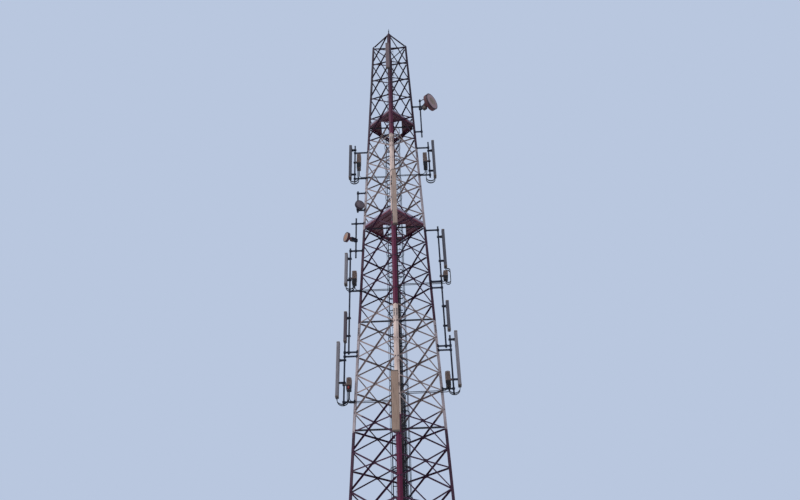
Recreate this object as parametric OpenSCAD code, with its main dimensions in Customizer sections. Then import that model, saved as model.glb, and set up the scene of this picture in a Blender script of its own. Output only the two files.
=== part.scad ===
// Four-legged lattice tower of steel angle that carries radio antennas.
// Millimetres, +Z up, the origin on the ground at the middle of the four legs.
// The faces of the tower are square to X and Y, and its corners are named front (+X -Y), right (+X +Y),
// rear (-X +Y) and left (-X -Y).
// Levels count the bays down from the top node of a leg: level 0 is that node, level 1 the next one down, and
// a half level is the middle of a bay, where the two braces of a face cross.

/* [Tower] */
// Side of the square that the outer corners of the legs make on the ground
base_side = 3390; // [2800:10:4200]
// Side of the square that the outer corners of the legs make at the top
top_side = 1440; // [1250:10:1600]
// Height of the lowest brace node above the ground
foot_h = 270; // [240:5:400]
// Height of the legs above the highest brace node
head_h = 130; // [110:5:220]

/* [Bays] */
// Height of a bay in the top section
top_bay_h = 1380; // [1200:10:1600]
// Height of a bay in the second section
second_bay_h = 1590; // [1400:10:1800]
// Height of a bay in the third section
third_bay_h = 1730; // [1500:10:1900]
// Height of a bay in the fourth section
fourth_bay_h = 1730; // [1500:10:1900]
// Height of a bay in the fifth section
fifth_bay_h = 1670; // [1500:10:1900]
// Height of a bay in the sixth section
sixth_bay_h = 1580; // [1400:10:1800]
// Height of a bay in the section on the ground
foot_bay_h = 1520; // [1400:10:1800]

/* [Steel sections] */
// Width of each flange of a leg
leg_w = 150; // [140:5:180]
// Thickness of a leg's flanges
leg_t = 14; // [10:1:18]
// Distance of the bolt line from a leg's outer corner
leg_gauge = 75; // [70:1:85]
// Width of each flange of a brace
brace_w = 60; // [45:1:70]
// Thickness of a brace's flanges
brace_t = 6; // [5:1:8]
// Length of a brace past its bolt
brace_lap = 40; // [30:1:42]
// Side of the packing plate where two braces cross
cross_plate = 130; // [100:5:180]
// Width of each flange of the angle inside a leg joint
splice_w = 105; // [90:5:120]
// Thickness of the angle inside a leg joint
splice_t = 10; // [8:1:14]
// Length of the angle inside a leg joint
splice_l = 400; // [300:10:460]

/* [Base plates] */
// Side of a base plate
plate_w = 450; // [420:10:520]
// Thickness of a base plate
plate_t = 25; // [20:1:40]
// Distance between the anchor holes of a base plate
anchor_pitch = 330; // [310:5:350]
// Diameter of an anchor hole
anchor_d = 34; // [24:1:40]
// Distance of a base plate's middle from its leg's outer corner, along each side
plate_in = 60; // [50:1:70]
// Height of the ribs on a base plate
rib_h = 150; // [100:5:160]
// Thickness of a rib
rib_t = 12; // [8:1:16]

/* [Ladder and cables] */
// Width between the outer faces of the climbing ladder's rails
ladder_w = 420; // [380:5:460]
// Depth of a ladder rail
rail_d = 50; // [40:1:60]
// Thickness of a ladder rail
rail_t = 10; // [8:1:14]
// Distance between rungs
rung_pitch = 300; // [250:10:330]
// Diameter of a rung
rung_d = 22; // [18:1:25]
// Outer radius of a cage hoop
cage_r = 430; // [400:1:435]
// Height of a hoop's flat bar
hoop_w = 50; // [40:1:60]
// Thickness of the cage's flat bars
cage_t = 6; // [5:1:8]
// Greatest distance between cage hoops
hoop_pitch = 1200; // [900:50:1500]
// Height of the lowest cage hoop above the ground
cage_foot = 2300; // [2200:50:2600]
// Width of the cable ladder
tray_w = 600; // [560:5:640]
// Distance between the cable ladder's rungs
tray_pitch = 600; // [400:50:800]
// Diameter of a feeder cable
feeder_d = 32; // [24:1:34]
// Distance between feeder cables
feeder_pitch = 36; // [36:1:38]
// Distance of the feeder cables' middle to the right of the cable ladder's
feeder_off = 65; // [40:5:70]
// Height of the feeder cables' lower ends above the ground
feeder_foot = 420; // [350:10:800]

/* [Platforms] */
// Thickness of a deck plate
deck_t = 6; // [4:1:10]
// Width of each flange of the angles under a deck
bearer_w = 80; // [76:1:90]
// Height of the toe board around a deck
toe_h = 120; // [80:5:160]
// Width of the opening in a deck
hatch_w = 1100; // [1040:10:1160]
// Distance of the upper opening's front edge in front of the tower's middle
upper_hatch_front = 420; // [200:10:460]
// Distance of the lower opening's front edge in front of the tower's middle
lower_hatch_front = 200; // [180:5:260]
// Distance of the openings' back edge behind the tower's middle
hatch_back = 940; // [900:10:1100]
// Room around a brace that passes through a platform
brace_room = 6; // [4:1:10]

/* [Antenna mounts] */
// Diameter of an antenna pipe
pipe_d = 76; // [60:1:89]
// Width and height of the square arms that hold a pipe
arm_w = 60; // [50:1:70]
// Side of the clamp where an arm holds its pipe
clamp_w = 100; // [95:5:110]
// Height of the clamp where an arm holds its pipe
clamp_h = 80; // [70:5:100]
// Height of the half clamps of panels and radio units
grip_h = 60; // [40:5:70]
// Width of a saddle's plates along a leg's flanges
saddle_w = 110; // [90:5:120]
// Height of a saddle
saddle_h = 150; // [120:5:170]
// Thickness of a saddle's plates
saddle_t = 10; // [8:1:12]
// Depth of a panel antenna
panel_d = 140; // [110:5:160]
// Width of a panel antenna
panel_w = 280; // [270:5:300]
// Width of the two slim panel antennas on the front leg
slim_panel_w = 210; // [180:5:280]
// Radius of a panel antenna's corners
panel_r = 35; // [15:5:50]
// Width of a radio unit
radio_w = 320; // [300:5:360]
// Depth of a radio unit
radio_d = 190; // [150:5:210]
// Distance from a pipe's middle to the radio unit beside it
radio_gap = 110; // [80:5:120]
// Diameter of a jumper cable
jumper_d = 24; // [12:1:26]
// Diameter of the large dish
dish_d = 960; // [700:10:1000]
// Depth of the large dish's drum
dish_depth = 330; // [250:10:400]
// Distance from its pipe's middle to the back of the large dish's drum
dish_back = 500; // [420:10:540]
// Distance of the large dish's middle below the upper arm of its pipe
dish_drop = 150; // [146:2:220]
// Diameter of the small dishes
small_dish_d = 480; // [360:10:500]
// Depth of a small dish's drum
small_dish_depth = 180; // [140:10:220]
// Distance from its pipe's middle to the back of the upper small dish's drum
near_dish_back = 150; // [130:10:200]
// Height of the upper small dish's middle above the lower arm of its pipe
near_dish_rise = 150; // [146:2:200]
// Distance from its pipe's middle to the back of the lower small dish's drum
far_dish_back = 390; // [300:10:420]
// Distance of the lower small dish's middle below the middle of its pipe's arms
far_dish_drop = 190; // [100:10:240]
// Height of the spike above the front leg
spike_h = 420; // [300:10:600]
// Diameter of the spike
spike_d = 18; // [12:1:18]
// Length of the spike inside the leg
spike_grip = 70; // [50:5:75]
// Diameter of the spike's foot
spike_base_d = 60; // [40:2:70]
// Height of the spike's foot
spike_base_h = 260; // [100:10:280]

/* [Hidden] */

// Sockets under a panel antenna and a radio unit, and the straight drop of a jumper cable
socket_d = 26;
socket_h = 30;
jumper_drop = 60;
// Places of the jumper sockets to each side of the middle of a body of width w, and of the feeder sockets
socket_edge = 30;
socket_pitch = 28;
function socket_ys(w) = [for (side = [-1, 1], i = [0:2]) side * (w / 2 - socket_edge - i * socket_pitch)];
feeder_side = radio_w / 2 - socket_d / 2 - 6;
feeder_step = radio_d / 4;
// Radius of a feeder's turns, and how far its run stays below the arm under its radio unit and below the turn
// up into the unit
feeder_turn = 5 * feeder_d;
feeder_under = 110;
feeder_drop = 94;
// Clearance between pieces that are bolted together
seat = 0.3;
// Packing that sets a horizontal inside the plane of the braces
packing = 1;
// Colours of the paint and of the equipment
red_paint = "#6b2a45";
galvanised = "#3a3d45";
radome = "#a08c7c";
radio_grey = "#8a7568";
cable_black = "#1b1b1e";

// Heights of the bays and how many bays each section has, from the top down
bay_hs = [top_bay_h, second_bay_h, third_bay_h, fourth_bay_h, fifth_bay_h, sixth_bay_h, foot_bay_h];
section_bays = [2.5, 3, 3, 3, 3, 3, 4.5];
function total(v, i = 0) = i < len(v) ? v[i] + total(v, i + 1) : 0;
function part_sum(v, n) = n > 0 ? v[n - 1] + part_sum(v, n - 1) : 0;
bays = total(section_bays);
// Distance of a level below the top node
function drop(level) =
    total([for (i = [0:len(bay_hs) - 1])
        bay_hs[i] * max(0, min(section_bays[i], level - part_sum(section_bays, i)))]);
tower_h = foot_h + drop(bays) + head_h;
function level_z(level) = tower_h - head_h - drop(level);
// Half the side of the tower, and the distance of a leg's outer corner from the middle, at a height
function half_at(z) = (base_side + (top_side - base_side) * z / tower_h) / 2;
function corner_at(z) = half_at(z) * sqrt(2);
// Lean of the faces and of the legs
face_lean = atan((base_side - top_side) / 2 / tower_h);
leg_lean = atan((base_side - top_side) / sqrt(2) / tower_h);
// Height at which the braces of bay n cross, where the horizontals are
function bolt_half(z) = half_at(z) - leg_gauge;
function cross_z(n) =
    level_z(n + 1) + (level_z(n) - level_z(n + 1))
        * bolt_half(level_z(n + 1)) / (bolt_half(level_z(n)) + bolt_half(level_z(n + 1)));
// Bays that have a horizontal, and bays whose horizontal carries a platform or a ladder beam
horizontal_bays = [for (n = [4:bays - 1]) n];
upper_deck_bay = 4;
lower_deck_bay = 8;
beam_bays = [4, 8, 11, 14, 17, 20];
joint_levels = [2.75, 5.75, 8.75, 11.75, 14.75, 17.75];

// Turns each corner's own direction onto +X
right_turn = 45;
rear_turn = 135;
left_turn = 225;
front_turn = 315;

// Ladder beam: a tee that lies on the horizontals from the left leg to the right leg
beam_w = 70;
beam_t = 8;
// Places across the tower: positive is towards the front leg
tray_gap = 46;
tray_back = beam_w / 2 + tray_gap;
tray_d = 40;
ladder_front = -beam_w / 2 - seat;
rung_v = ladder_front - rail_d / 2;
cage_v = rung_v - sqrt(pow(cage_r, 2) - pow(ladder_w / 2, 2));
cage_top = deck_z(upper_deck_bay);
ladder_foot = 300;

// Pipe mounts. Each has the corner of its leg, the levels of its arms, the reach of its pipe from the leg's
// corner at the lowest arm, and the length of the pipe above its top arm and below its lowest arm.
right_dish_mount = [right_turn, [3.5, 4.7], 325, 550, 400];
right_upper_mount = [right_turn, [5.45, 6.55], 505, 380, 170];
right_middle_mount = [right_turn, [8.6, 10.3, 10.5, 12.25], 325, 200, 90];
right_lower_mount = [right_turn, [12.25, 12.37, 13.45], 440, 500, 250];
left_upper_mount = [left_turn, [5.55, 6.58], 565, 500, 250];
left_upper_dish_mount = [left_turn, [7.15, 7.78], 310, 120, 120];
left_lower_dish_mount = [left_turn, [8.26, 9.2], 285, 320, 400];
left_middle_mount = [left_turn, [9.2, 10.5, 12.33], 340, 140, 90];
left_lower_mount = [left_turn, [12.33, 12.45, 13.7], 425, 450, 110];
front_top_mount = [front_turn, [1.19, 2.2], 130, 120, 120];
front_middle_mount = [front_turn, [7.43, 8.82], 130, 120, 120];
front_lower_mount = [front_turn, [13.75, 14.78], 130, 120, 120];

// Panel antennas. Each has its mount, the numbers of the two arms that it is set between, its height, the
// height of its middle above the middle of those arms, the places of its brackets above and below its own
// middle, the gap from the pipe's middle to its back, and its offset sideways.
right_upper_aerial = [right_upper_mount, 0, 1, 2460, 130, [600, -800], 180, 0];
right_middle_aerial = [right_middle_mount, 0, 1, 2120, 360, [700, -700], 170, 0];
right_short_aerial = [right_middle_mount, 2, 3, 1460, 0, [500, -500], 120, 0];
right_lower_aerial = [right_lower_mount, 1, 2, 2570, 480, [920, -970], 200, 0];
left_upper_aerial = [left_upper_mount, 0, 1, 2210, 260, [850, -850], 170, 0];
left_middle_aerial = [left_middle_mount, 0, 1, 1720, 90, [600, -600], 120, 0];
left_short_aerial = [left_middle_mount, 1, 2, 1460, -300, [450, -450], 100, 0];
left_lower_aerial = [left_lower_mount, 1, 2, 2560, 450, [430, -620], 220, 0];
front_top_aerial = [front_top_mount, 0, 1, 2050, 0, [450, -450], 80, -85];
front_middle_aerial = [front_middle_mount, 0, 1, 3300, -80, [900, -900], 80, 95];
front_lower_aerial = [front_lower_mount, 0, 1, 2460, 0, [550, -550], 80, -80];

// Radio units. Each has its mount, the numbers of the two arms that it is set between, its height, the height
// of its middle above the middle of those arms, and the side of the pipe that it is on.
right_radios = [[right_upper_mount, 0, 1, 970, 0, -1], [right_middle_mount, 0, 1, 420, -1190, 1],
                [right_lower_mount, 1, 2, 650, -490, -1]];
left_radios = [[left_upper_mount, 0, 1, 930, 230, -1], [left_middle_mount, 0, 1, 660, -430, -1],
               [left_lower_mount, 1, 2, 530, -270, -1]];

$fn = 48;

// Puts a piece in the frame of a corner: +X points out of the corner, seen from above
module at_corner(turn) rotate([0, 0, turn]) children();

// Follows a leg: the origin is on the leg's outer corner at the height z, and Z runs up the leg
module along_leg(turn, z = 0)
    at_corner(turn) translate([corner_at(z), 0, z]) rotate([0, -leg_lean, 0]) rotate([0, 0, -45]) children();

// Cuts a piece between two heights
module between(z0, z1)
    intersection() {
        children();
        translate([-base_side, -base_side, z0]) cube([2 * base_side, 2 * base_side, z1 - z0]);
    }

// Angle section whose outer corner is at the origin and whose flanges run along -X and -Y
module angle_outline(w, t) polygon([[0, 0], [-w, 0], [-w, -t], [-t, -t], [-t, -w], [0, -w]]);

module leg(turn) {
    leg_l = tower_h / cos(leg_lean) + 2 * leg_w;
    color(red_paint) {
        between(plate_t, tower_h)
            along_leg(turn) translate([0, 0, -leg_w]) linear_extrude(leg_l) angle_outline(leg_w, leg_t);
        for (level = joint_levels)
            along_leg(turn, level_z(level))
                translate([seat - leg_t, seat - leg_t, -splice_l / 2])
                    linear_extrude(splice_l) angle_outline(splice_w, splice_t + seat);
    }
}

// Base plate with its four anchor holes and a rib against each flange of the leg
module base_plate(turn) {
    corner = base_side / 2;
    mid = corner - plate_in;
    color(red_paint) rotate([0, 0, turn - 45]) {
        difference() {
            translate([mid - plate_w / 2, mid - plate_w / 2, 0]) cube([plate_w, plate_w, plate_t]);
            for (x = [-1, 1], y = [-1, 1])
                translate([mid + x * anchor_pitch / 2, mid + y * anchor_pitch / 2, -1])
                    cylinder(d = anchor_d, h = plate_t + 2);
        }
        plate_rib(corner, mid);
        mirror([1, -1, 0]) plate_rib(corner, mid);
    }
}

module plate_rib(corner, mid) {
    out = mid + plate_w / 2 - corner - rib_t;
    translate([corner - leg_gauge + rib_t / 2, corner, plate_t - 1]) rotate([90, 0, -90])
        linear_extrude(rib_t) polygon([[-seat, 0], [-out, 0], [-out, rib_t], [-3 * rib_t, rib_h + 1],
                                       [(rib_h + plate_t) * tan(face_lean) - seat, rib_h + 1]]);
}

// Puts a piece in the plane of a face: X along the face, Z up its slope and -Y outwards
module on_face(turn)
    rotate([0, 0, turn]) translate([0, -base_side / 2, 0]) rotate([-face_lean, 0, 0]) children();

// Bolt on a leg, in the plane of a face
function bolt(side, z) = [side * bolt_half(z), z / cos(face_lean)];

// Follows a bar from bolt to bolt: the origin is on the plane y = face_y at p, and X runs to q
module along_bar(p, q, face_y)
    translate([p[0], face_y, p[1]]) rotate([0, -atan2(q[1] - p[1], q[0] - p[0]), 0]) children();

// Angle bar from bolt to bolt. Its flat flange lies on the plane y = face_y, and its other flange stands out
// on the side that out gives, with its underside at edge_z, coped short of the legs.
module face_bar(p, q, face_y, out, edge_z = brace_w / 2 - brace_t) {
    run = q - p;
    slope = atan2(run[1], abs(run[0]));
    cope = (leg_w - leg_gauge + 10 + brace_w / 2 * sin(slope)) / cos(slope);
    along_bar(p, q, face_y) mirror([0, out < 0 ? 1 : 0, 0]) {
        translate([-brace_lap, 0, -brace_w / 2]) cube([norm(run) + 2 * brace_lap, brace_t, brace_w]);
        translate([cope, 0, edge_z]) cube([norm(run) - 2 * cope, brace_w, brace_t]);
    }
}

module bracing(turn) {
    outer_y = -seat;
    inner_y = leg_t + seat;
    color(red_paint) on_face(turn) {
        for (n = [0:bays - 1]) {
            top_z = level_z(n);
            low_z = level_z(n + 1);
            face_bar(bolt(-1, low_z), bolt(1, top_z), outer_y, -1);
            face_bar(bolt(-1, top_z), bolt(1, low_z), inner_y, 1);
            translate([0, (outer_y + inner_y) / 2, cross_z(n) / cos(face_lean)])
                cube([cross_plate, inner_y - outer_y + brace_t, cross_plate], center = true);
        }
        for (n = horizontal_bays)
            face_bar(bolt(-1, cross_z(n)), bolt(1, cross_z(n)), inner_y + packing, 1);
    }
}

// Four angles around the top of the legs
module top_frame() {
    mid_z = tower_h - brace_w / 2;
    color(red_paint) for (turn = [0:90:270])
        on_face(turn) face_bar(bolt(-1, mid_z), bolt(1, mid_z), leg_t + seat, 1, -brace_w / 2);
}

// Tees from the left leg to the right leg, which carry the ladder and the cables
module ladder_beams()
    color(red_paint) {
        for (n = beam_bays) ladder_beam(cross_z(n) + brace_w / 2 + seat);
        ladder_beam(tower_h - brace_w - beam_w - 2 * seat, brace_t + seat);
    }

// Ladder beam at the height z, with room for what lies on the inside of the legs
module ladder_beam(z, room = 0) {
    half_l = corner_at(z + beam_w) - (leg_t + room) * sqrt(2) - beam_w / 2 - 2 * seat;
    at_corner(right_turn) translate([0, 0, z]) {
        translate([-half_l, -beam_w / 2, 0]) cube([2 * half_l, beam_w, beam_t]);
        translate([-half_l, -beam_t / 2, 0]) cube([2 * half_l, beam_t, beam_w]);
    }
}

// Height of a platform's angles above its horizontals, clear of the ladder beam
function frame_z(n) = cross_z(n) + brace_w / 2 + beam_w + 2 * seat;
function deck_z(n) = frame_z(n) + bearer_w;
// Half the side of a platform, inside the legs' flanges
function deck_half(n) = half_at(deck_z(n) + toe_h) - leg_t - 2;

// Opening of a platform, without the edge that the deck keeps all round
function hatch_reach(n) = n == upper_deck_bay ? upper_hatch_front : lower_hatch_front;
module hatch_outline(n, grow = 0)
    rotate(rear_turn) translate([-hatch_reach(n) - grow, -hatch_w / 2 - grow])
        square([hatch_reach(n) + hatch_back + 2 * grow, hatch_w + 2 * grow]);

// Room in a platform for the inner brace of each face
module brace_slots(n)
    for (turn = [0:90:270]) {
        p = bolt(-1, level_z(n));
        q = bolt(1, level_z(n + 1));
        on_face(turn) along_bar(p, q, leg_t) translate([0, -brace_room, -brace_w / 2 - brace_room])
            cube([norm(q - p), brace_w + 2 * brace_room, brace_w + 2 * brace_room]);
    }

module platform_frame(n) {
    half = deck_half(n);
    color(red_paint) difference() {
        translate([0, 0, frame_z(n)]) {
            linear_extrude(bearer_w) difference() {
                square(2 * half, center = true);
                square(2 * (half - brace_t), center = true);
            }
            translate([0, 0, bearer_w - brace_t]) linear_extrude(brace_t) difference() {
                square(2 * half, center = true);
                square(2 * (half - bearer_w), center = true);
            }
            linear_extrude(bearer_w) intersection() {
                square(2 * half - 2, center = true);
                difference() {
                    hatch_outline(n, brace_t);
                    hatch_outline(n);
                }
            }
        }
        brace_slots(n);
    }
}

module platform_deck(n) {
    half = deck_half(n);
    color(red_paint) difference() {
        translate([0, 0, deck_z(n)]) {
            linear_extrude(deck_t) difference() {
                square(2 * half, center = true);
                intersection() {
                    square(2 * (half - bearer_w), center = true);
                    hatch_outline(n);
                }
            }
            linear_extrude(toe_h) difference() {
                square(2 * half, center = true);
                square(2 * (half - brace_t), center = true);
            }
        }
        brace_slots(n);
    }
}

module climbing_ladder() {
    rungs = floor((tower_h - ladder_foot) / rung_pitch);
    color(galvanised) at_corner(front_turn) translate([rung_v, 0, 0]) {
        for (side = [-1, 1])
            translate([-rail_d / 2, side * (ladder_w - rail_t) / 2 - rail_t / 2, ladder_foot])
                cube([rail_d, rail_t, tower_h - ladder_foot]);
        for (i = [0:rungs - 1])
            translate([0, 0, ladder_foot + rung_pitch * (i + 0.5)]) rotate([90, 0, 0])
                cylinder(d = rung_d, h = ladder_w - rail_t, center = true, $fn = 24);
    }
}

// Hoops around the climber and the five flat bars that join them
module ladder_cage() {
    hoops = ceil((cage_top - cage_foot) / hoop_pitch);
    in_r = cage_r - cage_t;
    open_half = asin((ladder_w / 2 + seat) / in_r);
    color(galvanised) at_corner(front_turn) translate([cage_v, 0, 0]) {
        for (i = [0:hoops])
            translate([0, 0, cage_foot + i * (cage_top - cage_foot) / hoops - hoop_w / 2])
                rotate([0, 0, open_half]) rotate_extrude(angle = 360 - 2 * open_half)
                    translate([in_r, 0]) square([cage_t, hoop_w]);
        for (i = [-2:2])
            rotate([0, 0, 180 + i * 55])
                translate([in_r - cage_t + 1, -hoop_w / 2, cage_foot - hoop_w])
                    cube([cage_t, hoop_w, cage_top - cage_foot + 2 * hoop_w]);
    }
}

// Cable ladder from its foot to the upper platform
module cable_ladder() {
    steps = floor((deck_z(upper_deck_bay) + toe_h - ladder_foot) / tray_pitch);
    color(galvanised) at_corner(front_turn) translate([tray_back, 0, 0]) {
        for (side = [-1, 1])
            translate([0, side * (tray_w - rail_t) / 2 - rail_t / 2, ladder_foot])
                cube([tray_d, rail_t, steps * tray_pitch]);
        for (i = [0:steps - 1])
            translate([tray_d - brace_t - 20, -tray_w / 2 + 1, ladder_foot + tray_pitch * (i + 0.5)])
                cube([20 + brace_t, tray_w - 2, 30]);
        translate([1, -tray_w / 2 + 1, feeder_foot - seat - rail_t])
            cube([tray_d + 2 * feeder_d, tray_w - 2, rail_t]);
        for (n = beam_bays, side = [-1, 1])
            translate([seat - tray_gap, side * (tray_w - rail_t) / 2, cross_z(n) + brace_w / 2])
                translate([0, 1 - rail_t / 2, 0]) cube([tray_gap + rail_t, rail_t - 2, beam_w]);
    }
}

// Quarter turn of a round cable in the XZ plane, from the angle start
module cable_turn(d, r, start, turn = 90)
    rotate([90, 0, 0]) rotate([0, 0, start]) rotate_extrude(angle = turn) translate([r, 0]) circle(d = d);

// Feeder cables from left to right. Each has its radio unit, and 1 for the cable that runs above the other one
// of its unit.
feeders = [[left_radios[2], 0], [left_radios[2], 1], [left_radios[1], 0], [left_radios[1], 1],
           [left_radios[0], 0], [left_radios[0], 1], [right_radios[0], 1], [right_radios[0], 0],
           [right_radios[1], 1], [right_radios[1], 0], [right_radios[2], 1], [right_radios[2], 0]];

// Feeder cable i: up the cable ladder, out past its leg on the front side, and up into the radio unit.
// X runs from the left leg to the right leg, and -Y to the front.
module feeder_cable(i) {
    unit = feeders[i][0];
    upper = feeders[i][1];
    side = unit[0][0] == right_turn ? 1 : -1;
    place = (i - (len(feeders) - 1) / 2) * feeder_pitch;
    foot = [place + feeder_off, -(tray_back + tray_d + seat + feeder_d / 2)];
    plug = [side * (pipe_u(unit[0]) + unit[5] * radio_off + (1 - 2 * upper) * feeder_step), -feeder_side];
    plug_z = item_z(unit) - unit[3] / 2 - socket_h - seat;
    r = feeder_turn;
    run = norm(plug - foot);
    run_z = min(arm_z(unit[0], unit[2]) - feeder_under, plug_z - r - feeder_drop) + 2 * upper * feeder_d;
    translate(foot) rotate(atan2(plug[1] - foot[1], plug[0] - foot[0])) {
        translate([0, 0, feeder_foot]) cylinder(d = feeder_d, h = run_z - r - feeder_foot);
        translate([r, 0, run_z - r]) cable_turn(feeder_d, r, 90);
        translate([r, 0, run_z]) rotate([0, 90, 0]) cylinder(d = feeder_d, h = run - 2 * r);
        translate([run - r, 0, run_z + r]) cable_turn(feeder_d, r, -90);
        translate([run, 0, run_z + r]) cylinder(d = feeder_d, h = plug_z - run_z - r);
    }
}

module feeder_cables()
    color(cable_black) at_corner(right_turn) for (i = [0:len(feeders) - 1]) feeder_cable(i);

module lightning_spike()
    color(galvanised) along_leg(front_turn, tower_h)
        translate([-leg_t - seat - spike_d / 2, -leg_t - seat - spike_d / 2, 0]) {
            translate([0, 0, -spike_grip]) cylinder(d = spike_d, h = spike_grip + spike_h);
            translate([0, 0, spike_base_d * sin(leg_lean)]) cylinder(d = spike_base_d, h = spike_base_h);
        }

// Saddle that hugs a leg from outside
module saddle(turn, z)
    along_leg(turn, z) translate([seat + saddle_t, seat + saddle_t, -saddle_h / 2])
        linear_extrude(saddle_h) angle_outline(saddle_w, saddle_t);

// Distance of a mount's pipe from the tower's middle, and the height of its arms and of what hangs on it
function pipe_u(mount) = corner_at(level_z(mount[1][len(mount[1]) - 1])) + mount[2];
function arm_z(mount, i) = level_z(mount[1][i]);
function mid_z(mount, i, j) = (arm_z(mount, i) + arm_z(mount, j)) / 2;
function item_z(item) = mid_z(item[0], item[1], item[2]) + item[4];

// Arm from a saddle on the leg out to a pipe
module arm(turn, level, u) {
    z = level_z(level);
    saddle(turn, z);
    at_corner(turn) {
        translate([corner_at(z) + saddle_t / 2, -arm_w / 2, z - arm_w / 2])
            cube([u - corner_at(z) - saddle_t / 2, arm_w, arm_w]);
        translate([u - clamp_w / 2, -clamp_w / 2, z - clamp_h / 2]) cube([clamp_w, clamp_w, clamp_h]);
    }
}

// Pipe with the arms that hold it
module pipe_mount(mount) {
    u = pipe_u(mount);
    levels = mount[1];
    low_z = level_z(levels[len(levels) - 1]) - mount[4];
    color(galvanised) {
        for (level = levels) arm(mount[0], level, u);
        at_corner(mount[0]) translate([u, 0, low_z])
            cylinder(d = pipe_d, h = level_z(levels[0]) + mount[3] - low_z);
    }
}

// Half clamp between a pipe and what is held beside it, from the pipe's side to the distance gap
module half_clamp(gap)
    difference() {
        translate([1, -clamp_w / 2, -grip_h / 2]) cube([gap - 1, clamp_w, grip_h]);
        translate([0, 0, -grip_h]) cylinder(d = pipe_d + 2 * seat, h = 2 * grip_h);
    }

// Rectangle with rounded corners, from x = 0 outwards
module rounded_outline(d, w, r)
    translate([r, 0]) union() {
        translate([0, -w / 2]) square([d - 2 * r, w]);
        translate([-r, r - w / 2]) square([d, w - 2 * r]);
        for (x = [0, d - 2 * r], y = [-1, 1]) translate([x, y * (w / 2 - r)]) circle(r);
    }

// Panel antenna on its two half clamps, with the sockets under it
module panel(item, w = panel_w) {
    gap = item[6];
    h = item[3];
    at_corner(item[0][0]) translate([pipe_u(item[0]), 0, item_z(item)]) {
        color(radome) translate([gap, item[7], -h / 2]) {
            linear_extrude(h) rounded_outline(panel_d, w, panel_r);
            for (y = socket_ys(w)) translate([panel_d / 2, y, -socket_h])
                cylinder(d = socket_d, h = socket_h + 1);
        }
        color(galvanised) for (z = item[5]) translate([0, 0, z]) half_clamp(gap + 1);
    }
}

// Distance of a radio unit's middle from its pipe, and the side of the unit that is to the tower's front
radio_off = radio_gap + radio_d / 2;
function radio_front(item) = item[5] * (item[0][0] == right_turn ? -1 : 1);

module radio(item) {
    h = item[3];
    at_corner(item[0][0] + (item[5] > 0 ? 0 : 180)) translate([item[5] * pipe_u(item[0]), 0, item_z(item)]) {
        color(radio_grey) translate([radio_gap, -radio_w / 2, -h / 2]) cube([radio_d, radio_w, h]);
        color(cable_black) {
            for (y = socket_ys(panel_w))
                translate([radio_off, y, -h / 2 - socket_h]) cylinder(d = socket_d, h = socket_h + 1);
            for (x = [-1, 1])
                translate([radio_off + x * feeder_step, radio_front(item) * feeder_side, -h / 2 - socket_h])
                    cylinder(d = socket_d, h = socket_h + 1);
        }
        color(galvanised) half_clamp(radio_gap + 1);
    }
}

// Jumper cables that hang in a loop from a panel's sockets to a radio unit's sockets
module jumpers(aerial, unit) {
    panel_u = aerial[6] + panel_d / 2;
    panel_low = item_z(aerial) - aerial[3] / 2 - socket_h - seat;
    unit_low = item_z(unit) - unit[3] / 2 - socket_h - seat;
    radius = (panel_u + radio_off) / 2;
    for (y = socket_ys(panel_w))
        color(cable_black) at_corner(aerial[0][0])
            translate([pipe_u(aerial[0]) - radio_off, y, min(panel_low, unit_low) - jumper_drop]) {
                cylinder(d = jumper_d, h = jumper_drop + unit_low - min(panel_low, unit_low));
                translate([2 * radius, 0, 0])
                    cylinder(d = jumper_d, h = jumper_drop + panel_low - min(panel_low, unit_low));
                translate([radius, 0, 0]) cable_turn(jumper_d, radius, 180, 180);
            }
}

// Jumper cables from a panel's sockets round the outside of the radio unit below it
module outer_jumpers(aerial, unit) {
    panel_u = aerial[6] + panel_d / 2;
    panel_low = item_z(aerial) - aerial[3] / 2 - socket_h - seat;
    unit_low = item_z(unit) - unit[3] / 2 - socket_h - seat;
    r = 4 * jumper_d;
    out = panel_u + 2 * r;
    radius = (out - radio_off) / 2;
    for (y = socket_ys(panel_w))
        color(cable_black) at_corner(aerial[0][0]) translate([pipe_u(aerial[0]), y, 0]) {
            translate([panel_u, 0, panel_low - jumper_d]) cylinder(d = jumper_d, h = jumper_d);
            translate([panel_u + r, 0, panel_low - jumper_d]) cable_turn(jumper_d, r, 180);
            translate([panel_u + r, 0, panel_low - jumper_d - 2 * r]) cable_turn(jumper_d, r, 0);
            translate([out, 0, unit_low - jumper_drop])
                cylinder(d = jumper_d, h = panel_low - jumper_d - 2 * r - unit_low + jumper_drop);
            translate([out - radius, 0, unit_low - jumper_drop]) cable_turn(jumper_d, radius, 180, 180);
            translate([radio_off, 0, unit_low - jumper_drop]) cylinder(d = jumper_d, h = jumper_drop);
        }
}

// Drum dish whose axis runs out along +X from the middle of its pipe
module dish(d, depth, back) {
    r = d / 2;
    color(radome) translate([back, 0, 0]) rotate([0, 90, 0]) rotate_extrude() polygon([
        [0, -back / 3], [r / 4, -back / 3], [r / 3, 0], [r - 8, depth / 3], [r, depth / 3],
        [r, depth], [r - 8, depth], [0, depth + d / 30]]);
    color(galvanised) {
        difference() {
            translate([1, -clamp_w / 2, -clamp_w]) cube([back * 2 / 3 + 5, clamp_w, 2 * clamp_w]);
            translate([0, 0, -2 * clamp_w]) cylinder(d = pipe_d + 2 * seat, h = 4 * clamp_w);
        }
    }
}

module dish_on(mount, z, aim, d, depth, back)
    at_corner(mount[0]) translate([pipe_u(mount), 0, z]) rotate([0, 0, aim]) dish(d, depth, back);

module right_leg_mounts() {
    pipe_mount(right_dish_mount);
    pipe_mount(right_upper_mount);
    pipe_mount(right_middle_mount);
    pipe_mount(right_lower_mount);
}

module left_leg_mounts() {
    pipe_mount(left_upper_mount);
    pipe_mount(left_upper_dish_mount);
    pipe_mount(left_lower_dish_mount);
    pipe_mount(left_middle_mount);
    pipe_mount(left_lower_mount);
}

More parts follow.
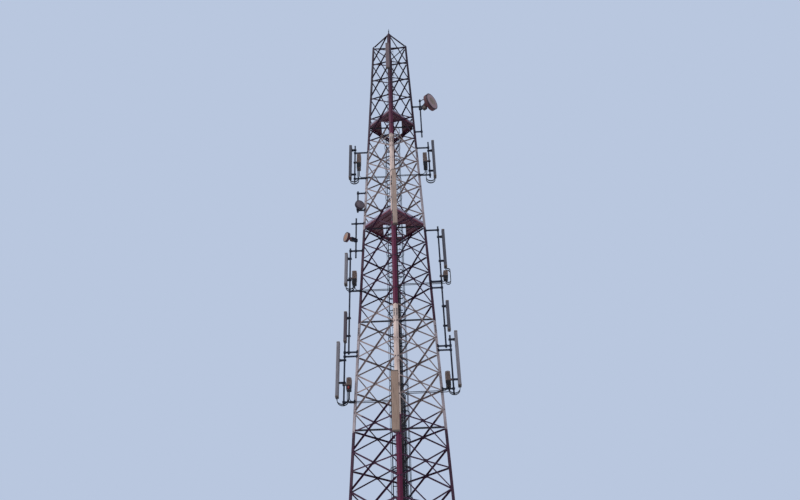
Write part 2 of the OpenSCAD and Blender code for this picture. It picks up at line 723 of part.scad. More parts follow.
module front_leg_mounts() {
    pipe_mount(front_top_mount);
    pipe_mount(front_middle_mount);
    pipe_mount(front_lower_mount);
}

module right_dish()
    dish_on(right_dish_mount, arm_z(right_dish_mount, 0) - dish_drop, -38, dish_d, dish_depth, dish_back);
module left_upper_dish()
    dish_on(left_upper_dish_mount, arm_z(left_upper_dish_mount, 1) + near_dish_rise, 115,
            small_dish_d, small_dish_depth, near_dish_back);
module left_lower_dish()
    dish_on(left_lower_dish_mount, mid_z(left_lower_dish_mount, 0, 1) - far_dish_drop, 35,
            small_dish_d, small_dish_depth, far_dish_back);

module right_jumpers() {
    jumpers(right_upper_aerial, right_radios[0]);
    outer_jumpers(right_middle_aerial, right_radios[1]);
    jumpers(right_lower_aerial, right_radios[2]);
}

module left_jumpers() {
    jumpers(left_upper_aerial, left_radios[0]);
    jumpers(left_middle_aerial, left_radios[1]);
    jumpers(left_lower_aerial, left_radios[2]);
}

leg(front_turn);  // front_leg
leg(right_turn);  // right_leg
leg(rear_turn);  // rear_leg
leg(left_turn);  // left_leg
base_plate(front_turn);  // front_base_plate
base_plate(right_turn);  // right_base_plate
base_plate(rear_turn);  // rear_base_plate
base_plate(left_turn);  // left_base_plate
bracing(0);  // front_left_bracing
bracing(90);  // front_right_bracing
bracing(180);  // rear_right_bracing
bracing(270);  // rear_left_bracing
top_frame();
ladder_beams();
platform_frame(upper_deck_bay);  // upper_platform_frame
platform_deck(upper_deck_bay);  // upper_platform_deck
platform_frame(lower_deck_bay);  // lower_platform_frame
platform_deck(lower_deck_bay);  // lower_platform_deck
climbing_ladder();
ladder_cage();
cable_ladder();
feeder_cables();
right_leg_mounts();
left_leg_mounts();
front_leg_mounts();
lightning_spike();
right_dish();
left_upper_dish();
left_lower_dish();
panel(right_upper_aerial);  // right_upper_panel
panel(right_middle_aerial);  // right_middle_panel
panel(right_short_aerial);  // right_short_panel
panel(right_lower_aerial);  // right_lower_panel
panel(left_upper_aerial);  // left_upper_panel
panel(left_middle_aerial);  // left_middle_panel
panel(left_short_aerial);  // left_short_panel
panel(left_lower_aerial);  // left_lower_panel
panel(front_top_aerial, slim_panel_w);  // front_top_panel
panel(front_middle_aerial, slim_panel_w);  // front_middle_panel
panel(front_lower_aerial);  // front_lower_panel
for (unit = right_radios) radio(unit);  // right_radio_units
for (unit = left_radios) radio(unit);  // left_radio_units
right_jumpers();
left_jumpers();
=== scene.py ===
"""Dresses the four-legged lattice cell tower.

The solids keep their shapes and get their finishes. Added to them are the bolts, clamps, clips, caps, fins,
welds and fabric that the solids leave out. Lengths are in millimetres until a mesh is made.
"""

from __future__ import annotations

import logging
import math
from dataclasses import dataclass
from enum import Enum, IntEnum
from functools import lru_cache
from itertools import product
from typing import Any, Callable, Iterable, Sequence

import bmesh
import bpy
import numpy as np
from mathutils import Matrix, Vector


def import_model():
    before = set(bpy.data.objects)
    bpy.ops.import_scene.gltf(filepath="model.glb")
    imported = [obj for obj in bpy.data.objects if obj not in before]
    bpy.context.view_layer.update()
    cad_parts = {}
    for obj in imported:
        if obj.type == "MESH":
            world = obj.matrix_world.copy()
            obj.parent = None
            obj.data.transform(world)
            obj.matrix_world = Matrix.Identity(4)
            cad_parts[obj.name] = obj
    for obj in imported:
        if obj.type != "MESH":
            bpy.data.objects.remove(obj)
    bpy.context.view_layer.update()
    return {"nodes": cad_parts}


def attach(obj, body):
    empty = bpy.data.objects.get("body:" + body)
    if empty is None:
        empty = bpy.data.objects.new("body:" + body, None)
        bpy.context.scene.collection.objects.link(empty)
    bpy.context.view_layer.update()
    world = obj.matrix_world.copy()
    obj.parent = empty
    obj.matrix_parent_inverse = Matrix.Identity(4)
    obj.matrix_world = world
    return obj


LOG = logging.getLogger("tower")
MM = 0.001
SIDES = (-1, 1)
Rgba = tuple[float, float, float, float]
Triple = tuple[float, float, float]
Profile = tuple[tuple[float, float], ...]
Outline = list[tuple[float, float]]
Socket = bpy.types.NodeSocket
Tree = bpy.types.NodeTree


# ---- Colours and materials ----


def linear(code: str) -> Rgba:
    """Turns an sRGB hex colour into linear RGBA.

    Args:
        code: The colour, such as "#6b2a45".

    Returns:
        Its linear red, green, blue and an alpha of 1.
    """
    shares = [int(code[i : i + 2], 16) / 255 for i in (1, 3, 5)]
    red, green, blue = (c / 12.92 if c <= 0.04045 else ((c + 0.055) / 1.055) ** 2.4 for c in shares)
    return red, green, blue, 1.0


def node(tree: Tree, kind: str, links: dict[Any, Any] | None = None, **settings: Any) -> bpy.types.Node:
    """Adds one node with its settings and links.

    Args:
        tree: The tree that gets the node.
        kind: The node's type without its ShaderNode prefix.
        links: For each input, by name or number, the socket linked to it or its constant value.
        settings: Attributes of the node.

    Returns:
        The new node.
    """
    made = tree.nodes.new("ShaderNode" + kind)
    for name, value in settings.items():
        setattr(made, name, value)
    for name, value in (links or {}).items():
        if isinstance(value, Socket):
            tree.links.new(value, made.inputs[name])
        else:
            made.inputs[name].default_value = value
    return made


@dataclass
class Surface:
    """What a finish gives the shader: sockets where it varies and plain values where it doesn't.

    height is a socket from 0 to 1 and relief is how many millimetres that is. sheen scales the gloss: a chalked
    or dusty skin has less than a clean one's 0.5.
    """

    colour: Socket | Rgba
    roughness: Socket | float
    metallic: Socket | float = 0.0
    height: Socket | None = None
    relief: float = 0.2
    sheen: float = 0.5


@dataclass(frozen=True)
class Finish:
    """A finish of the tower. Each kind says how its colour, gloss and relief are made."""

    def surface(self, tree: Tree, place: Socket) -> Surface:
        """Builds the finish's nodes.

        Args:
            tree: The material's node tree.
            place: The point on the object, in metres of the tower's frame.

        Returns:
            The finish's surface.
        """
        raise NotImplementedError

    def noise(self, tree: Tree, place: Socket, size: float, low: float, high: float,
              detail: float = 4.0, drawn: float = 1.0) -> Socket:
        """Makes patches of one size with a soft edge.

        Args:
            tree: The material's node tree.
            place: The point on the object.
            size: Size of the patches in millimetres.
            low: Noise level at which a patch starts.
            high: Noise level at which it is full.
            detail: Steps of finer noise inside it.
            drawn: How many times longer the patches are in height than in width.

        Returns:
            A socket from 0 outside the patches to 1 inside them.
        """
        if drawn != 1.0:
            place = node(tree, "Mapping", {"Vector": place, "Scale": (1.0, 1.0, 1.0 / drawn)}).outputs[0]
        cloud = node(tree, "TexNoise", {"Vector": place, "Scale": 1000 / size, "Detail": detail})
        return node(tree, "MapRange", {0: cloud.outputs[0], 1: low, 2: high}).outputs[0]


def blend(tree: Tree, mask: Socket | float, low: Any, high: Any) -> Any:
    """Mixes two colours or two numbers by a mask.

    Args:
        tree: The material's node tree.
        mask: 0 for low and 1 for high.
        low: A socket, a number, or a colour as hex or linear RGBA.
        high: The same kind of value.

    Returns:
        The mixed socket, or low itself if both are the same plain value.
    """
    low, high = (linear(value) if isinstance(value, str) else value for value in (low, high))
    if not isinstance(low, Socket) and not isinstance(high, Socket) and low == high:
        return low
    coloured = isinstance(low, tuple) or isinstance(high, tuple) or "RGBA" in (
        getattr(low, "type", ""), getattr(high, "type", ""))
    if coloured:
        return node(tree, "Mix", {0: mask, 6: low, 7: high}, data_type="RGBA").outputs[2]
    return node(tree, "Mix", {0: mask, 2: low, 3: high}).outputs[0]


def joined(tree: Tree, mask: Socket, a: Surface, b: Surface) -> Surface:
    """Joins two surfaces of one solid.

    Args:
        tree: The material's node tree.
        mask: 0 for the first surface and 1 for the second.
        a: The first surface.
        b: The second surface.

    Returns:
        The surface of both, with the deeper relief and the duller sheen.
    """
    return Surface(blend(tree, mask, a.colour, b.colour), blend(tree, mask, a.roughness, b.roughness),
                   blend(tree, mask, a.metallic, b.metallic), blend(tree, mask, a.height, b.height),
                   max(a.relief, b.relief), min(a.sheen, b.sheen))


@lru_cache(maxsize=None)
def material_of(finish: Finish) -> bpy.types.Material:
    """Makes a finish's material, once.

    Args:
        finish: The finish.

    Returns:
        Its Blender material.
    """
    made = bpy.data.materials.new(type(finish).__name__)
    made.use_nodes = True
    tree = made.node_tree
    shader = tree.nodes["Principled BSDF"]
    skin = finish.surface(tree, node(tree, "TexCoord").outputs["Object"])
    for name, value in (("Base Color", skin.colour), ("Roughness", skin.roughness), ("Metallic", skin.metallic),
                        ("Specular IOR Level", skin.sheen)):
        if isinstance(value, Socket):
            tree.links.new(value, shader.inputs[name])
        else:
            shader.inputs[name].default_value = value
    if skin.height is not None:
        bump = node(tree, "Bump", {"Height": skin.height, "Distance": skin.relief * MM, "Strength": 1.0})
        tree.links.new(bump.outputs[0], shader.inputs["Normal"])
    return made


@dataclass(frozen=True)
class AlkydPaint(Finish):
    """Alkyd enamel brushed on steel in bands of red and cream.

    To the eye it is a satin coat that chalks in the sun. Rain leaves brown runs down it, and it chips to rust
    beside the bolts.
    """

    red: str = "#5a1a37"
    chalked_red: str = "#642843"
    cream: str = "#dcc5ba"
    grimy_cream: str = "#b09a92"
    rust: str = "#472720"
    # Heights in millimetres at which the paint changes, from the ground up, starting with red
    changes: tuple[float, ...] = (2550.0, 7110.0, 11850.0, 16860.0, 22050.0, 27240.0)
    # Near-black that the coat is mixed towards near the top, so it is darker towards the top
    soot: str = "#1b1420"
    # Heights at which the darkening towards the top starts and is full
    soot_rise: tuple[float, float] = (27000.0, 32000.0)
    soot_share: float = 0.7
    # A painter's edge wanders by about half of this to each side
    wander: float = 20.0
    wave: float = 120.0
    brush: float = 4.0

    def surface(self, tree: Tree, place: Socket) -> Surface:
        """Builds the bands, the chalking, the darkening towards the top, the runs, the chips and the brush marks.

        Args:
            tree: The material's node tree.
            place: The point on the object, in metres of the tower's frame.

        Returns:
            The finish's surface.
        """
        height = node(tree, "SeparateXYZ", {0: place}).outputs[2]
        shift = node(tree, "TexNoise", {"Vector": place, "Scale": 1000 / self.wave}).outputs[0]
        edge = node(tree, "Math", {0: shift, 1: self.wander * MM, 2: height}, operation="MULTIPLY_ADD").outputs[0]
        cream: Socket | float = 0.0
        for i, change in enumerate(self.changes):
            limit = (change + self.wander / 2) * MM
            above = node(tree, "Math", {0: edge, 1: limit}, operation="GREATER_THAN").outputs[0]
            cream = node(tree, "Math", {0: cream, 1: above}, operation="SUBTRACT" if i % 2 else "ADD").outputs[0]
        fade = self.noise(tree, place, 700, 0.35, 0.75)
        red = blend(tree, fade, self.red, self.chalked_red)
        pale = blend(tree, fade, self.cream, self.grimy_cream)
        low, full = (z * MM for z in self.soot_rise)
        top_darkened = node(tree, "MapRange", {0: height, 1: low, 2: full, 3: 0.0, 4: self.soot_share}).outputs[0]
        coat = blend(tree, top_darkened, blend(tree, cream, red, pale), self.soot)
        runs = self.noise(tree, place, 60, 0.55, 0.85, detail=3.0, drawn=16.0)
        stained = blend(tree, runs, coat, self.rust)
        chips = self.noise(tree, place, 70, 0.66, 0.69, detail=8.0)
        bare = blend(tree, chips, stained, self.rust)
        gloss = blend(tree, fade, 0.42, 0.62)
        marks = node(tree, "TexNoise", {"Vector": place, "Scale": 1000 / self.brush, "Detail": 2.0}).outputs[0]
        relief = node(tree, "Math", {0: marks, 1: chips}, operation="SUBTRACT").outputs[0]
        return Surface(bare, blend(tree, chips, gloss, 0.85), height=relief, relief=0.25, sheen=0.12)


@dataclass(frozen=True)
class DeckPaint(AlkydPaint):
    """The same enamel on chequer plate, whose raised bars of 25 mm change direction from one square to the next."""

    square: float = 60.0
    bar_h: float = 1.5

    def surface(self, tree: Tree, place: Socket) -> Surface:
        """Adds the plate's raised bars to the paint.

        Args:
            tree: The material's node tree.
            place: The point on the object, in metres of the tower's frame.

        Returns:
            The finish's surface.
        """
        skin = super().surface(tree, place)
        pick = node(tree, "TexChecker", {"Vector": place, "Scale": 1000 / self.square}).outputs[1]
        bars = [node(tree, "TexWave", {"Vector": place, "Scale": 1000 / self.square / math.tau * 2},
                     bands_direction=axis).outputs[1] for axis in "XY"]
        skin.height = blend(tree, pick, bars[0], bars[1])
        skin.relief = self.bar_h
        return skin


@dataclass(frozen=True)
class GalvanisedSteel(Finish):
    """Hot-dip galvanised steel, years old.

    To the eye it is a dull metal with faint crystals of 12 mm, cloudy patches and dark dirt. Its dark navy-grey is
    painted shade, far darker than the metal's own grey.
    """

    # Both tones are a dark navy-grey: painted shade, darker than the metal's own grey
    bright: str = "#2d3243"
    dull: str = "#191c2a"
    crystal: float = 12.0
    metal: float = 0.55
    dirt: str = "#151418"

    def surface(self, tree: Tree, place: Socket) -> Surface:
        """Builds the crystals, the clouds and the dirt.

        Args:
            tree: The material's node tree.
            place: The point on the object, in metres of the tower's frame.

        Returns:
            The finish's surface.
        """
        crystals = node(tree, "TexVoronoi", {"Vector": place, "Scale": 1000 / self.crystal}).outputs["Color"]
        tone = node(tree, "SeparateXYZ", {0: crystals}).outputs[0]
        clouds = self.noise(tree, place, 220, 0.35, 0.7)
        shade = node(tree, "Math", {0: tone, 1: 0.35, 2: clouds}, operation="MULTIPLY_ADD", use_clamp=True)
        colour = blend(tree, shade.outputs[0], self.dull, self.bright)
        dirty = self.noise(tree, place, 90, 0.5, 0.8, drawn=6.0)
        return Surface(blend(tree, dirty, colour, self.dirt), blend(tree, clouds, 0.62, 0.45), self.metal, tone,
                       relief=0.05)


@dataclass(frozen=True)
class GlassFibre(Finish):
    """Glass-fibre radome of a panel antenna, pultruded and painted.

    To the eye it is a matt shell, bleached by the sun, with fine lines along its length and grey runs of rain.
    """

    face: str = "#947c6e"
    bleached: str = "#a28a7b"
    runs: str = "#725e54"

    def surface(self, tree: Tree, place: Socket) -> Surface:
        """Builds the bleaching, the runs and the pultrusion lines.

        Args:
            tree: The material's node tree.
            place: The point on the object, in metres of the tower's frame.

        Returns:
            The finish's surface.
        """
        sun = self.noise(tree, place, 500, 0.3, 0.7)
        colour = blend(tree, sun, self.face, self.bleached)
        rain = self.noise(tree, place, 35, 0.52, 0.8, drawn=14.0)
        lines = self.noise(tree, place, 5, 0.2, 0.8, detail=1.0, drawn=60.0)
        return Surface(blend(tree, rain, colour, self.runs), blend(tree, sun, 0.5, 0.7), height=lines, relief=0.15,
                       sheen=0.25)


@dataclass(frozen=True)
class PowderCoat(Finish):
    """Polyester powder coat on die-cast aluminium.

    To the eye it is an even, fine-pebbled coat with dust on it. The pebbles are 1 mm and drawn at 3 mm to show.
    """

    colour: str = "#84716d"
    dust: str = "#766b6a"
    gloss: float = 0.5
    pebble: float = 3.0

    def surface(self, tree: Tree, place: Socket) -> Surface:
        """Builds the dust and the pebbles.

        Args:
            tree: The material's node tree.
            place: The point on the object, in metres of the tower's frame.

        Returns:
            The finish's surface.
        """
        dust = self.noise(tree, place, 160, 0.4, 0.8, drawn=3.0)
        pebbles = node(tree, "TexNoise", {"Vector": place, "Scale": 1000 / self.pebble, "Detail": 1.0}).outputs[0]
        return Surface(blend(tree, dust, self.colour, self.dust), blend(tree, dust, self.gloss, 0.8),
                       height=pebbles, relief=0.12, sheen=0.25)


@dataclass(frozen=True)
class Polyethylene(Finish):
    """Extruded polyethylene cable jacket.

    To the eye it is black with a dull sheen, greyed by dust along its length.
    """

    jacket: str = "#101015"
    dust: str = "#28272c"

    def surface(self, tree: Tree, place: Socket) -> Surface:
        """Builds the dust and the faint ripple of the conductor under the jacket.

        Args:
            tree: The material's node tree.
            place: The point on the object, in metres of the tower's frame.

        Returns:
            The finish's surface.
        """
        dust = self.noise(tree, place, 120, 0.45, 0.8, drawn=4.0)
        ripple = self.noise(tree, place, 8, 0.2, 0.8, detail=1.0)
        return Surface(blend(tree, dust, self.jacket, self.dust), blend(tree, dust, 0.38, 0.7), height=ripple,
                       sheen=0.2)


@dataclass(frozen=True)
class CoatedFabric(Finish):
    """Coated woven fabric stretched over the mouth of a dish.

    To the eye it is a matt skin with a weave. The threads are 1 mm apart and drawn at 5 mm to show.
    """

    face: str = "#8c756f"
    stain: str = "#74605b"
    thread: float = 5.0

    def surface(self, tree: Tree, place: Socket) -> Surface:
        """Builds the stains and the weave.

        Args:
            tree: The material's node tree.
            place: The point on the object, in metres of the tower's frame.

        Returns:
            The finish's surface.
        """
        stain = self.noise(tree, place, 240, 0.4, 0.7)
        threads = [node(tree, "TexWave", {"Vector": place, "Scale": 1000 / self.thread / math.tau},
                        bands_direction=axis).outputs[1] for axis in "YZ"]
        weave = node(tree, "Math", {0: threads[0], 1: threads[1]}, operation="MULTIPLY").outputs[0]
        return Surface(blend(tree, stain, self.face, self.stain), 0.7, height=weave, relief=0.3, sheen=0.2)


@dataclass(frozen=True)
class ZincPlate(Finish):
    """Zinc-plated fastener steel.

    To the eye it is a bluish grey metal, brown with rust in the corners.
    """

    zinc: str = "#4c4f5a"
    rust: str = "#46302a"

    def surface(self, tree: Tree, place: Socket) -> Surface:
        """Builds the rust."""
        rust = self.noise(tree, place, 25, 0.5, 0.62)
        return Surface(blend(tree, rust, self.zinc, self.rust), blend(tree, rust, 0.4, 0.8), 0.6, rust, relief=0.1)


@dataclass(frozen=True)
class Zoned(Finish):
    """One solid with two finishes, which meet on a plane.

    near is the finish where the distance along direction is below cut, and far the one beyond it.
    """

    near: Finish
    far: Finish
    direction: Triple
    cut: float

    def surface(self, tree: Tree, place: Socket) -> Surface:
        """Builds both finishes and mixes them by the side of the plane.

        Args:
            tree: The material's node tree.
            place: The point on the object, in metres of the tower's frame.

        Returns:
            The finish's surface.
        """
        along = node(tree, "VectorMath", {0: place, 1: self.direction}, operation="DOT_PRODUCT").outputs["Value"]
        beyond = node(tree, "Math", {0: along, 1: self.cut * MM}, operation="GREATER_THAN").outputs[0]
        return joined(tree, beyond, self.near.surface(tree, place), self.far.surface(tree, place))


@dataclass(frozen=True)
class Rimmed(Finish):
    """A platform's solid: one finish inside, and another on its upright faces that look out of the tower.

    half is half the side of the platform, and skin is how far in the other finish reaches.
    """

    inside: Finish
    rim: Finish
    half: float
    skin: float = 2.0

    def surface(self, tree: Tree, place: Socket) -> Surface:
        """Builds both finishes and mixes them by the distance from the tower's middle.

        Args:
            tree: The material's node tree.
            place: The point on the object, in metres of the tower's frame.

        Returns:
            The finish's surface.
        """
        span = node(tree, "SeparateXYZ", {0: node(tree, "VectorMath", {0: place}, operation="ABSOLUTE").outputs[0]})
        reach = node(tree, "Math", {0: span.outputs[0], 1: span.outputs[1]}, operation="MAXIMUM").outputs[0]
        outer = node(tree, "Math", {0: reach, 1: (self.half - self.skin) * MM}, operation="GREATER_THAN").outputs[0]
        return joined(tree, outer, self.inside.surface(tree, place), self.rim.surface(tree, place))


PAINT = AlkydPaint()
# A darker copy of the paint for the left, right and rear legs: painted shade
SHADED_SIDE_PAINT = AlkydPaint("#412535", "#4b3141", "#ada1a4", "#92878b", "#3a2828")
# The braces' paint changes half a metre above the legs'
BRACE_LIFT = 550.0
BRACE_CHANGES = tuple(change + BRACE_LIFT for change in AlkydPaint.changes)
# A darker copy of the paint for the braces and the top frame: painted shade
SHADED_BRACE_PAINT = AlkydPaint("#3d2034", "#482c42", "#988683", "#7d6d6b", "#3c2928", BRACE_CHANGES)
BEAM_PAINT = AlkydPaint("#34353b", "#404148", rust="#33241f", changes=())
DECK_PAINT = AlkydPaint("#7a3a50", "#6a3f4c", rust="#553436", changes=())
# A pale lilac-grey for the platforms' outer rims: painted highlight and painted reflection of the sky
SKY_LIT_RIM_PAINT = AlkydPaint("#8f899c", "#a09aab", rust="#5a4a4c", changes=())
CHEQUER_PAINT = DeckPaint("#8a626c", "#7c5c62", rust="#6a4a48", changes=())
# Galvanised steel in dark navy-grey: painted shade
SHADED_ZINC = GalvanisedSteel()
# Darker still for the ladder, the cage and the cable ladder: painted shade
SHADED_LADDER_ZINC = GalvanisedSteel("#1f2331", "#11131c", metal=0.4)
FASTENER = ZincPlate()
BLACK_CASTING = PowderCoat("#100f14", "#201e22", 0.45)
RADIO_HOUSING = PowderCoat("#8a7568", "#75675e")
RADIO_HEAD = PowderCoat("#5f5450", "#4a4340")
RED_LAMP = PowderCoat("#8c2f2a", "#6a2b28")
END_CAP = PowderCoat("#6e6058", "#5c514b", 0.6)
CLAMP_HOOP = PowderCoat("#35262e", "#45373e", 0.5)
MAROON_SHELL = PowderCoat("#5c353b", "#67494a", 0.5)
MAUVE_SHELL = PowderCoat("#3a2c38", "#4c404a", 0.5)
JACKET = Polyethylene()


# ---- Meshes ----


def turned(degrees: float, axis: str = "Z") -> Matrix:
    """Gives a rotation of so many degrees about an axis."""
    return Matrix.Rotation(math.radians(degrees), 4, axis)


def moved(x: float = 0.0, y: float = 0.0, z: float = 0.0) -> Matrix:
    """Gives a move in millimetres."""
    return Matrix.Translation((x, y, z))


def circle(radius: float, sides: int) -> Outline:
    """Gives the corners of a regular polygon around the origin."""
    return [(radius * math.cos(math.tau * i / sides), radius * math.sin(math.tau * i / sides)) for i in range(sides)]


def rounded(width: float, depth: float, radius: float, steps: int) -> Outline:
    """Gives a rectangle with rounded corners, around the origin.

    Args:
        width: Its size along X.
        depth: Its size along Y.
        radius: The radius of its corners.
        steps: Segments in each corner.

    Returns:
        Its corners, anticlockwise.
    """
    outline = []
    for k, (sx, sy) in enumerate(((1, 1), (-1, 1), (-1, -1), (1, -1))):
        for i in range(steps + 1):
            angle = math.tau / 4 * (k + i / steps)
            outline.append((sx * (width / 2 - radius) + radius * math.cos(angle),
                            sy * (depth / 2 - radius) + radius * math.sin(angle)))
    return outline


class Shape:
    """A mesh in the making, in millimetres of the tower's frame."""

    def __init__(self) -> None:
        """Starts an empty mesh."""
        self.points: list[np.ndarray] = []
        self.count = 0
        self.faces: list[Sequence[int]] = []
        self.marks: list[int] = []

    def add(self, place: Matrix, points: Any, faces: Iterable[Sequence[int]], marks: Sequence[int]) -> None:
        """Adds points and faces.

        Args:
            place: Where they go.
            points: Rows of x, y and z.
            faces: Point numbers of each face, counted from the first of these points.
            marks: The number of each face's finish.
        """
        turn = np.array(place)
        grid = np.asarray(points, float).reshape(-1, 3) @ turn[:3, :3].T + turn[:3, 3]
        self.faces += [[i + self.count for i in face] for face in faces]
        self.marks += marks
        self.points.append(grid)
        self.count += len(grid)

    def loft(self, place: Matrix, rings: Sequence[Sequence[Sequence[float]]], mark: int = 0,
             caps: bool = True) -> None:
        """Skins a row of rings that have as many points each.

        Args:
            place: Where the loft goes.
            rings: The rings, each a list of x, y and z.
            mark: The number of its finish.
            caps: Whether the first and the last ring are closed.
        """
        n, rows = len(rings[0]), len(rings)
        faces: list[Sequence[int]] = [
            (r * n + i, r * n + (i + 1) % n, (r + 1) * n + (i + 1) % n, (r + 1) * n + i)
            for r in range(rows - 1) for i in range(n)]
        if caps:
            faces += [range(n - 1, -1, -1), range((rows - 1) * n, rows * n)]
        self.add(place, rings, faces, [int(mark)] * len(faces))

    def stack(self, place: Matrix, layers: Sequence[tuple[Outline, float]], mark: int = 0,
              caps: bool = True) -> None:
        """Skins a stack of flat outlines that have as many corners each.

        Args:
            place: Where the stack goes.
            layers: Each outline with its height.
            mark: The number of its finish.
            caps: Whether both ends are closed.
        """
        self.loft(place, [[(x, y, z) for x, y in outline] for outline, z in layers], mark, caps)

    def lathe(self, place: Matrix, profile: Sequence[tuple[float, float]], sides: int = 16, mark: int = 0,
              caps: bool = True) -> None:
        """Turns a profile around Z.

        Args:
            place: Where it goes.
            profile: Radius and height of each ring.
            sides: Corners of each ring.
            mark: The number of its finish.
            caps: Whether both ends are closed.
        """
        self.stack(place, [(circle(r, sides), z) for r, z in profile], mark, caps)

    def block(self, place: Matrix, size: Triple, bevel: float = 1.0, mark: int = 0,
              radius: float | None = None) -> None:
        """Adds a block around the origin with broken edges.

        Args:
            place: Where it goes.
            size: Its sizes along X, Y and Z.
            bevel: Width of the chamfer at its top and bottom.
            mark: The number of its finish.
            radius: Radius of its upright corners, or None for the bevel's.
        """
        w, d, h = size
        corner, steps = (bevel, 1) if radius is None else (radius, 4)
        full = rounded(w, d, corner, steps)
        less = rounded(w - 2 * bevel, d - 2 * bevel, max(corner - bevel, bevel / 4), steps)
        self.stack(place, [(less, -h / 2), (full, bevel - h / 2), (full, h / 2 - bevel), (less, h / 2)], mark)

    def sweep(self, path: Sequence[Sequence[float]], radius: float | Callable[[int], float], sides: int = 8,
              mark: int = 0, place: Matrix = Matrix.Identity(4)) -> None:
        """Runs a round bar along a path.

        Args:
            path: Its points.
            radius: The bar's radius, or a function that gives it at each point's number.
            sides: Corners of its section.
            mark: The number of its finish.
            place: Where the path goes.
        """
        line = [Vector(p) for p in path]
        rings = []
        side = None
        for i, point in enumerate(line):
            ahead = (line[min(i + 1, len(line) - 1)] - line[max(i - 1, 0)]).normalized()
            side = ahead.orthogonal() if side is None else side - ahead * side.dot(ahead)
            side.normalize()
            up = ahead.cross(side)
            r = radius(i) if callable(radius) else radius
            rings.append([tuple(point + side * x + up * y) for x, y in circle(r, sides)])
        self.loft(place, rings, mark)

    def stamp(self, other: Shape, place: Matrix) -> None:
        """Adds a copy of another shape at a place."""
        self.add(place, np.concatenate(other.points), other.faces, other.marks)

    def bolt(self, place: Matrix, size: float, grip: float) -> None:
        """Adds a hexagon bolt in the piece's first finish, with its head standing up from the place along Z."""
        self.stamp(hex_bolt(size, grip), place)

    def piece(self, name: str, finishes: Sequence[Finish], slot: str, smooth: float = 38.0) -> bpy.types.Object:
        """Makes the Blender object, which rides on the tower.

        Args:
            name: The piece's name.
            finishes: Its finishes, in the order of the marks.
            slot: Not used.
            smooth: Edges flatter than so many degrees are shaded smooth.

        Returns:
            The object.
        """
        mesh = bpy.data.meshes.new(name)
        mesh.from_pydata((np.concatenate(self.points) * MM).tolist(), [], self.faces)
        for finish in finishes:
            mesh.materials.append(material_of(finish))
        mesh.polygons.foreach_set("material_index", self.marks)
        work = bmesh.new()
        work.from_mesh(mesh)
        bmesh.ops.recalc_face_normals(work, faces=work.faces)
        work.to_mesh(mesh)
        work.free()
        mesh.polygons.foreach_set("use_smooth", [True] * len(mesh.polygons))
        mesh.set_sharp_from_angle(angle=math.radians(smooth))
        made = bpy.data.objects.new(name, mesh)
        bpy.context.scene.collection.objects.link(made)
        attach(made, "root")
        LOG.info("%s: %d faces", name, len(self.faces))
        return made


@lru_cache(maxsize=None)
def hex_bolt(size: float, grip: float) -> Shape:
    """Makes a hexagon bolt: its head stands up from the origin along Z, and its nut is below the grip.

    Args:
        size: Diameter of its thread.
        grip: Thickness that it holds together.

    Returns:
        Its shape.
    """
    bolt = Shape()
    here = Matrix.Identity(4)
    washer, flats, chamfer, thread = 0.95 * size, 0.87 * size, 0.74 * size, 0.5 * size
    washer_t = 0.15 * size
    bolt.lathe(here, [(washer, 0.0), (washer, washer_t)], 12)
    bolt.lathe(here, [(flats, washer_t), (flats, 0.68 * size), (chamfer, 0.78 * size)], 6)
    bolt.lathe(here, [(washer, -grip - washer_t), (washer, -grip)], 12)
    bolt.lathe(here, [(chamfer, -grip - size), (flats, -grip - 0.9 * size), (flats, -grip - washer_t)], 6)
    bolt.lathe(here, [(0.42 * size, -grip - 1.4 * size), (thread, -grip - 1.3 * size), (thread, -grip)], 8)
    return bolt


# ---- The tower's sizes, as the solids have them ----


class Corner(Enum):
    """Corners of the tower, each with the angle of its own direction from +X."""

    RIGHT = 45.0
    REAR = 135.0
    LEFT = 225.0
    FRONT = 315.0

    @property
    def place(self) -> Matrix:
        """Turns +X into the corner's own direction."""
        return turned(self.value)

    def at(self, out: float, across: float, z: float) -> Matrix:
        """Gives a place by its distances out of the tower's middle and across it, and by its height."""
        return self.place @ moved(out, across, z)


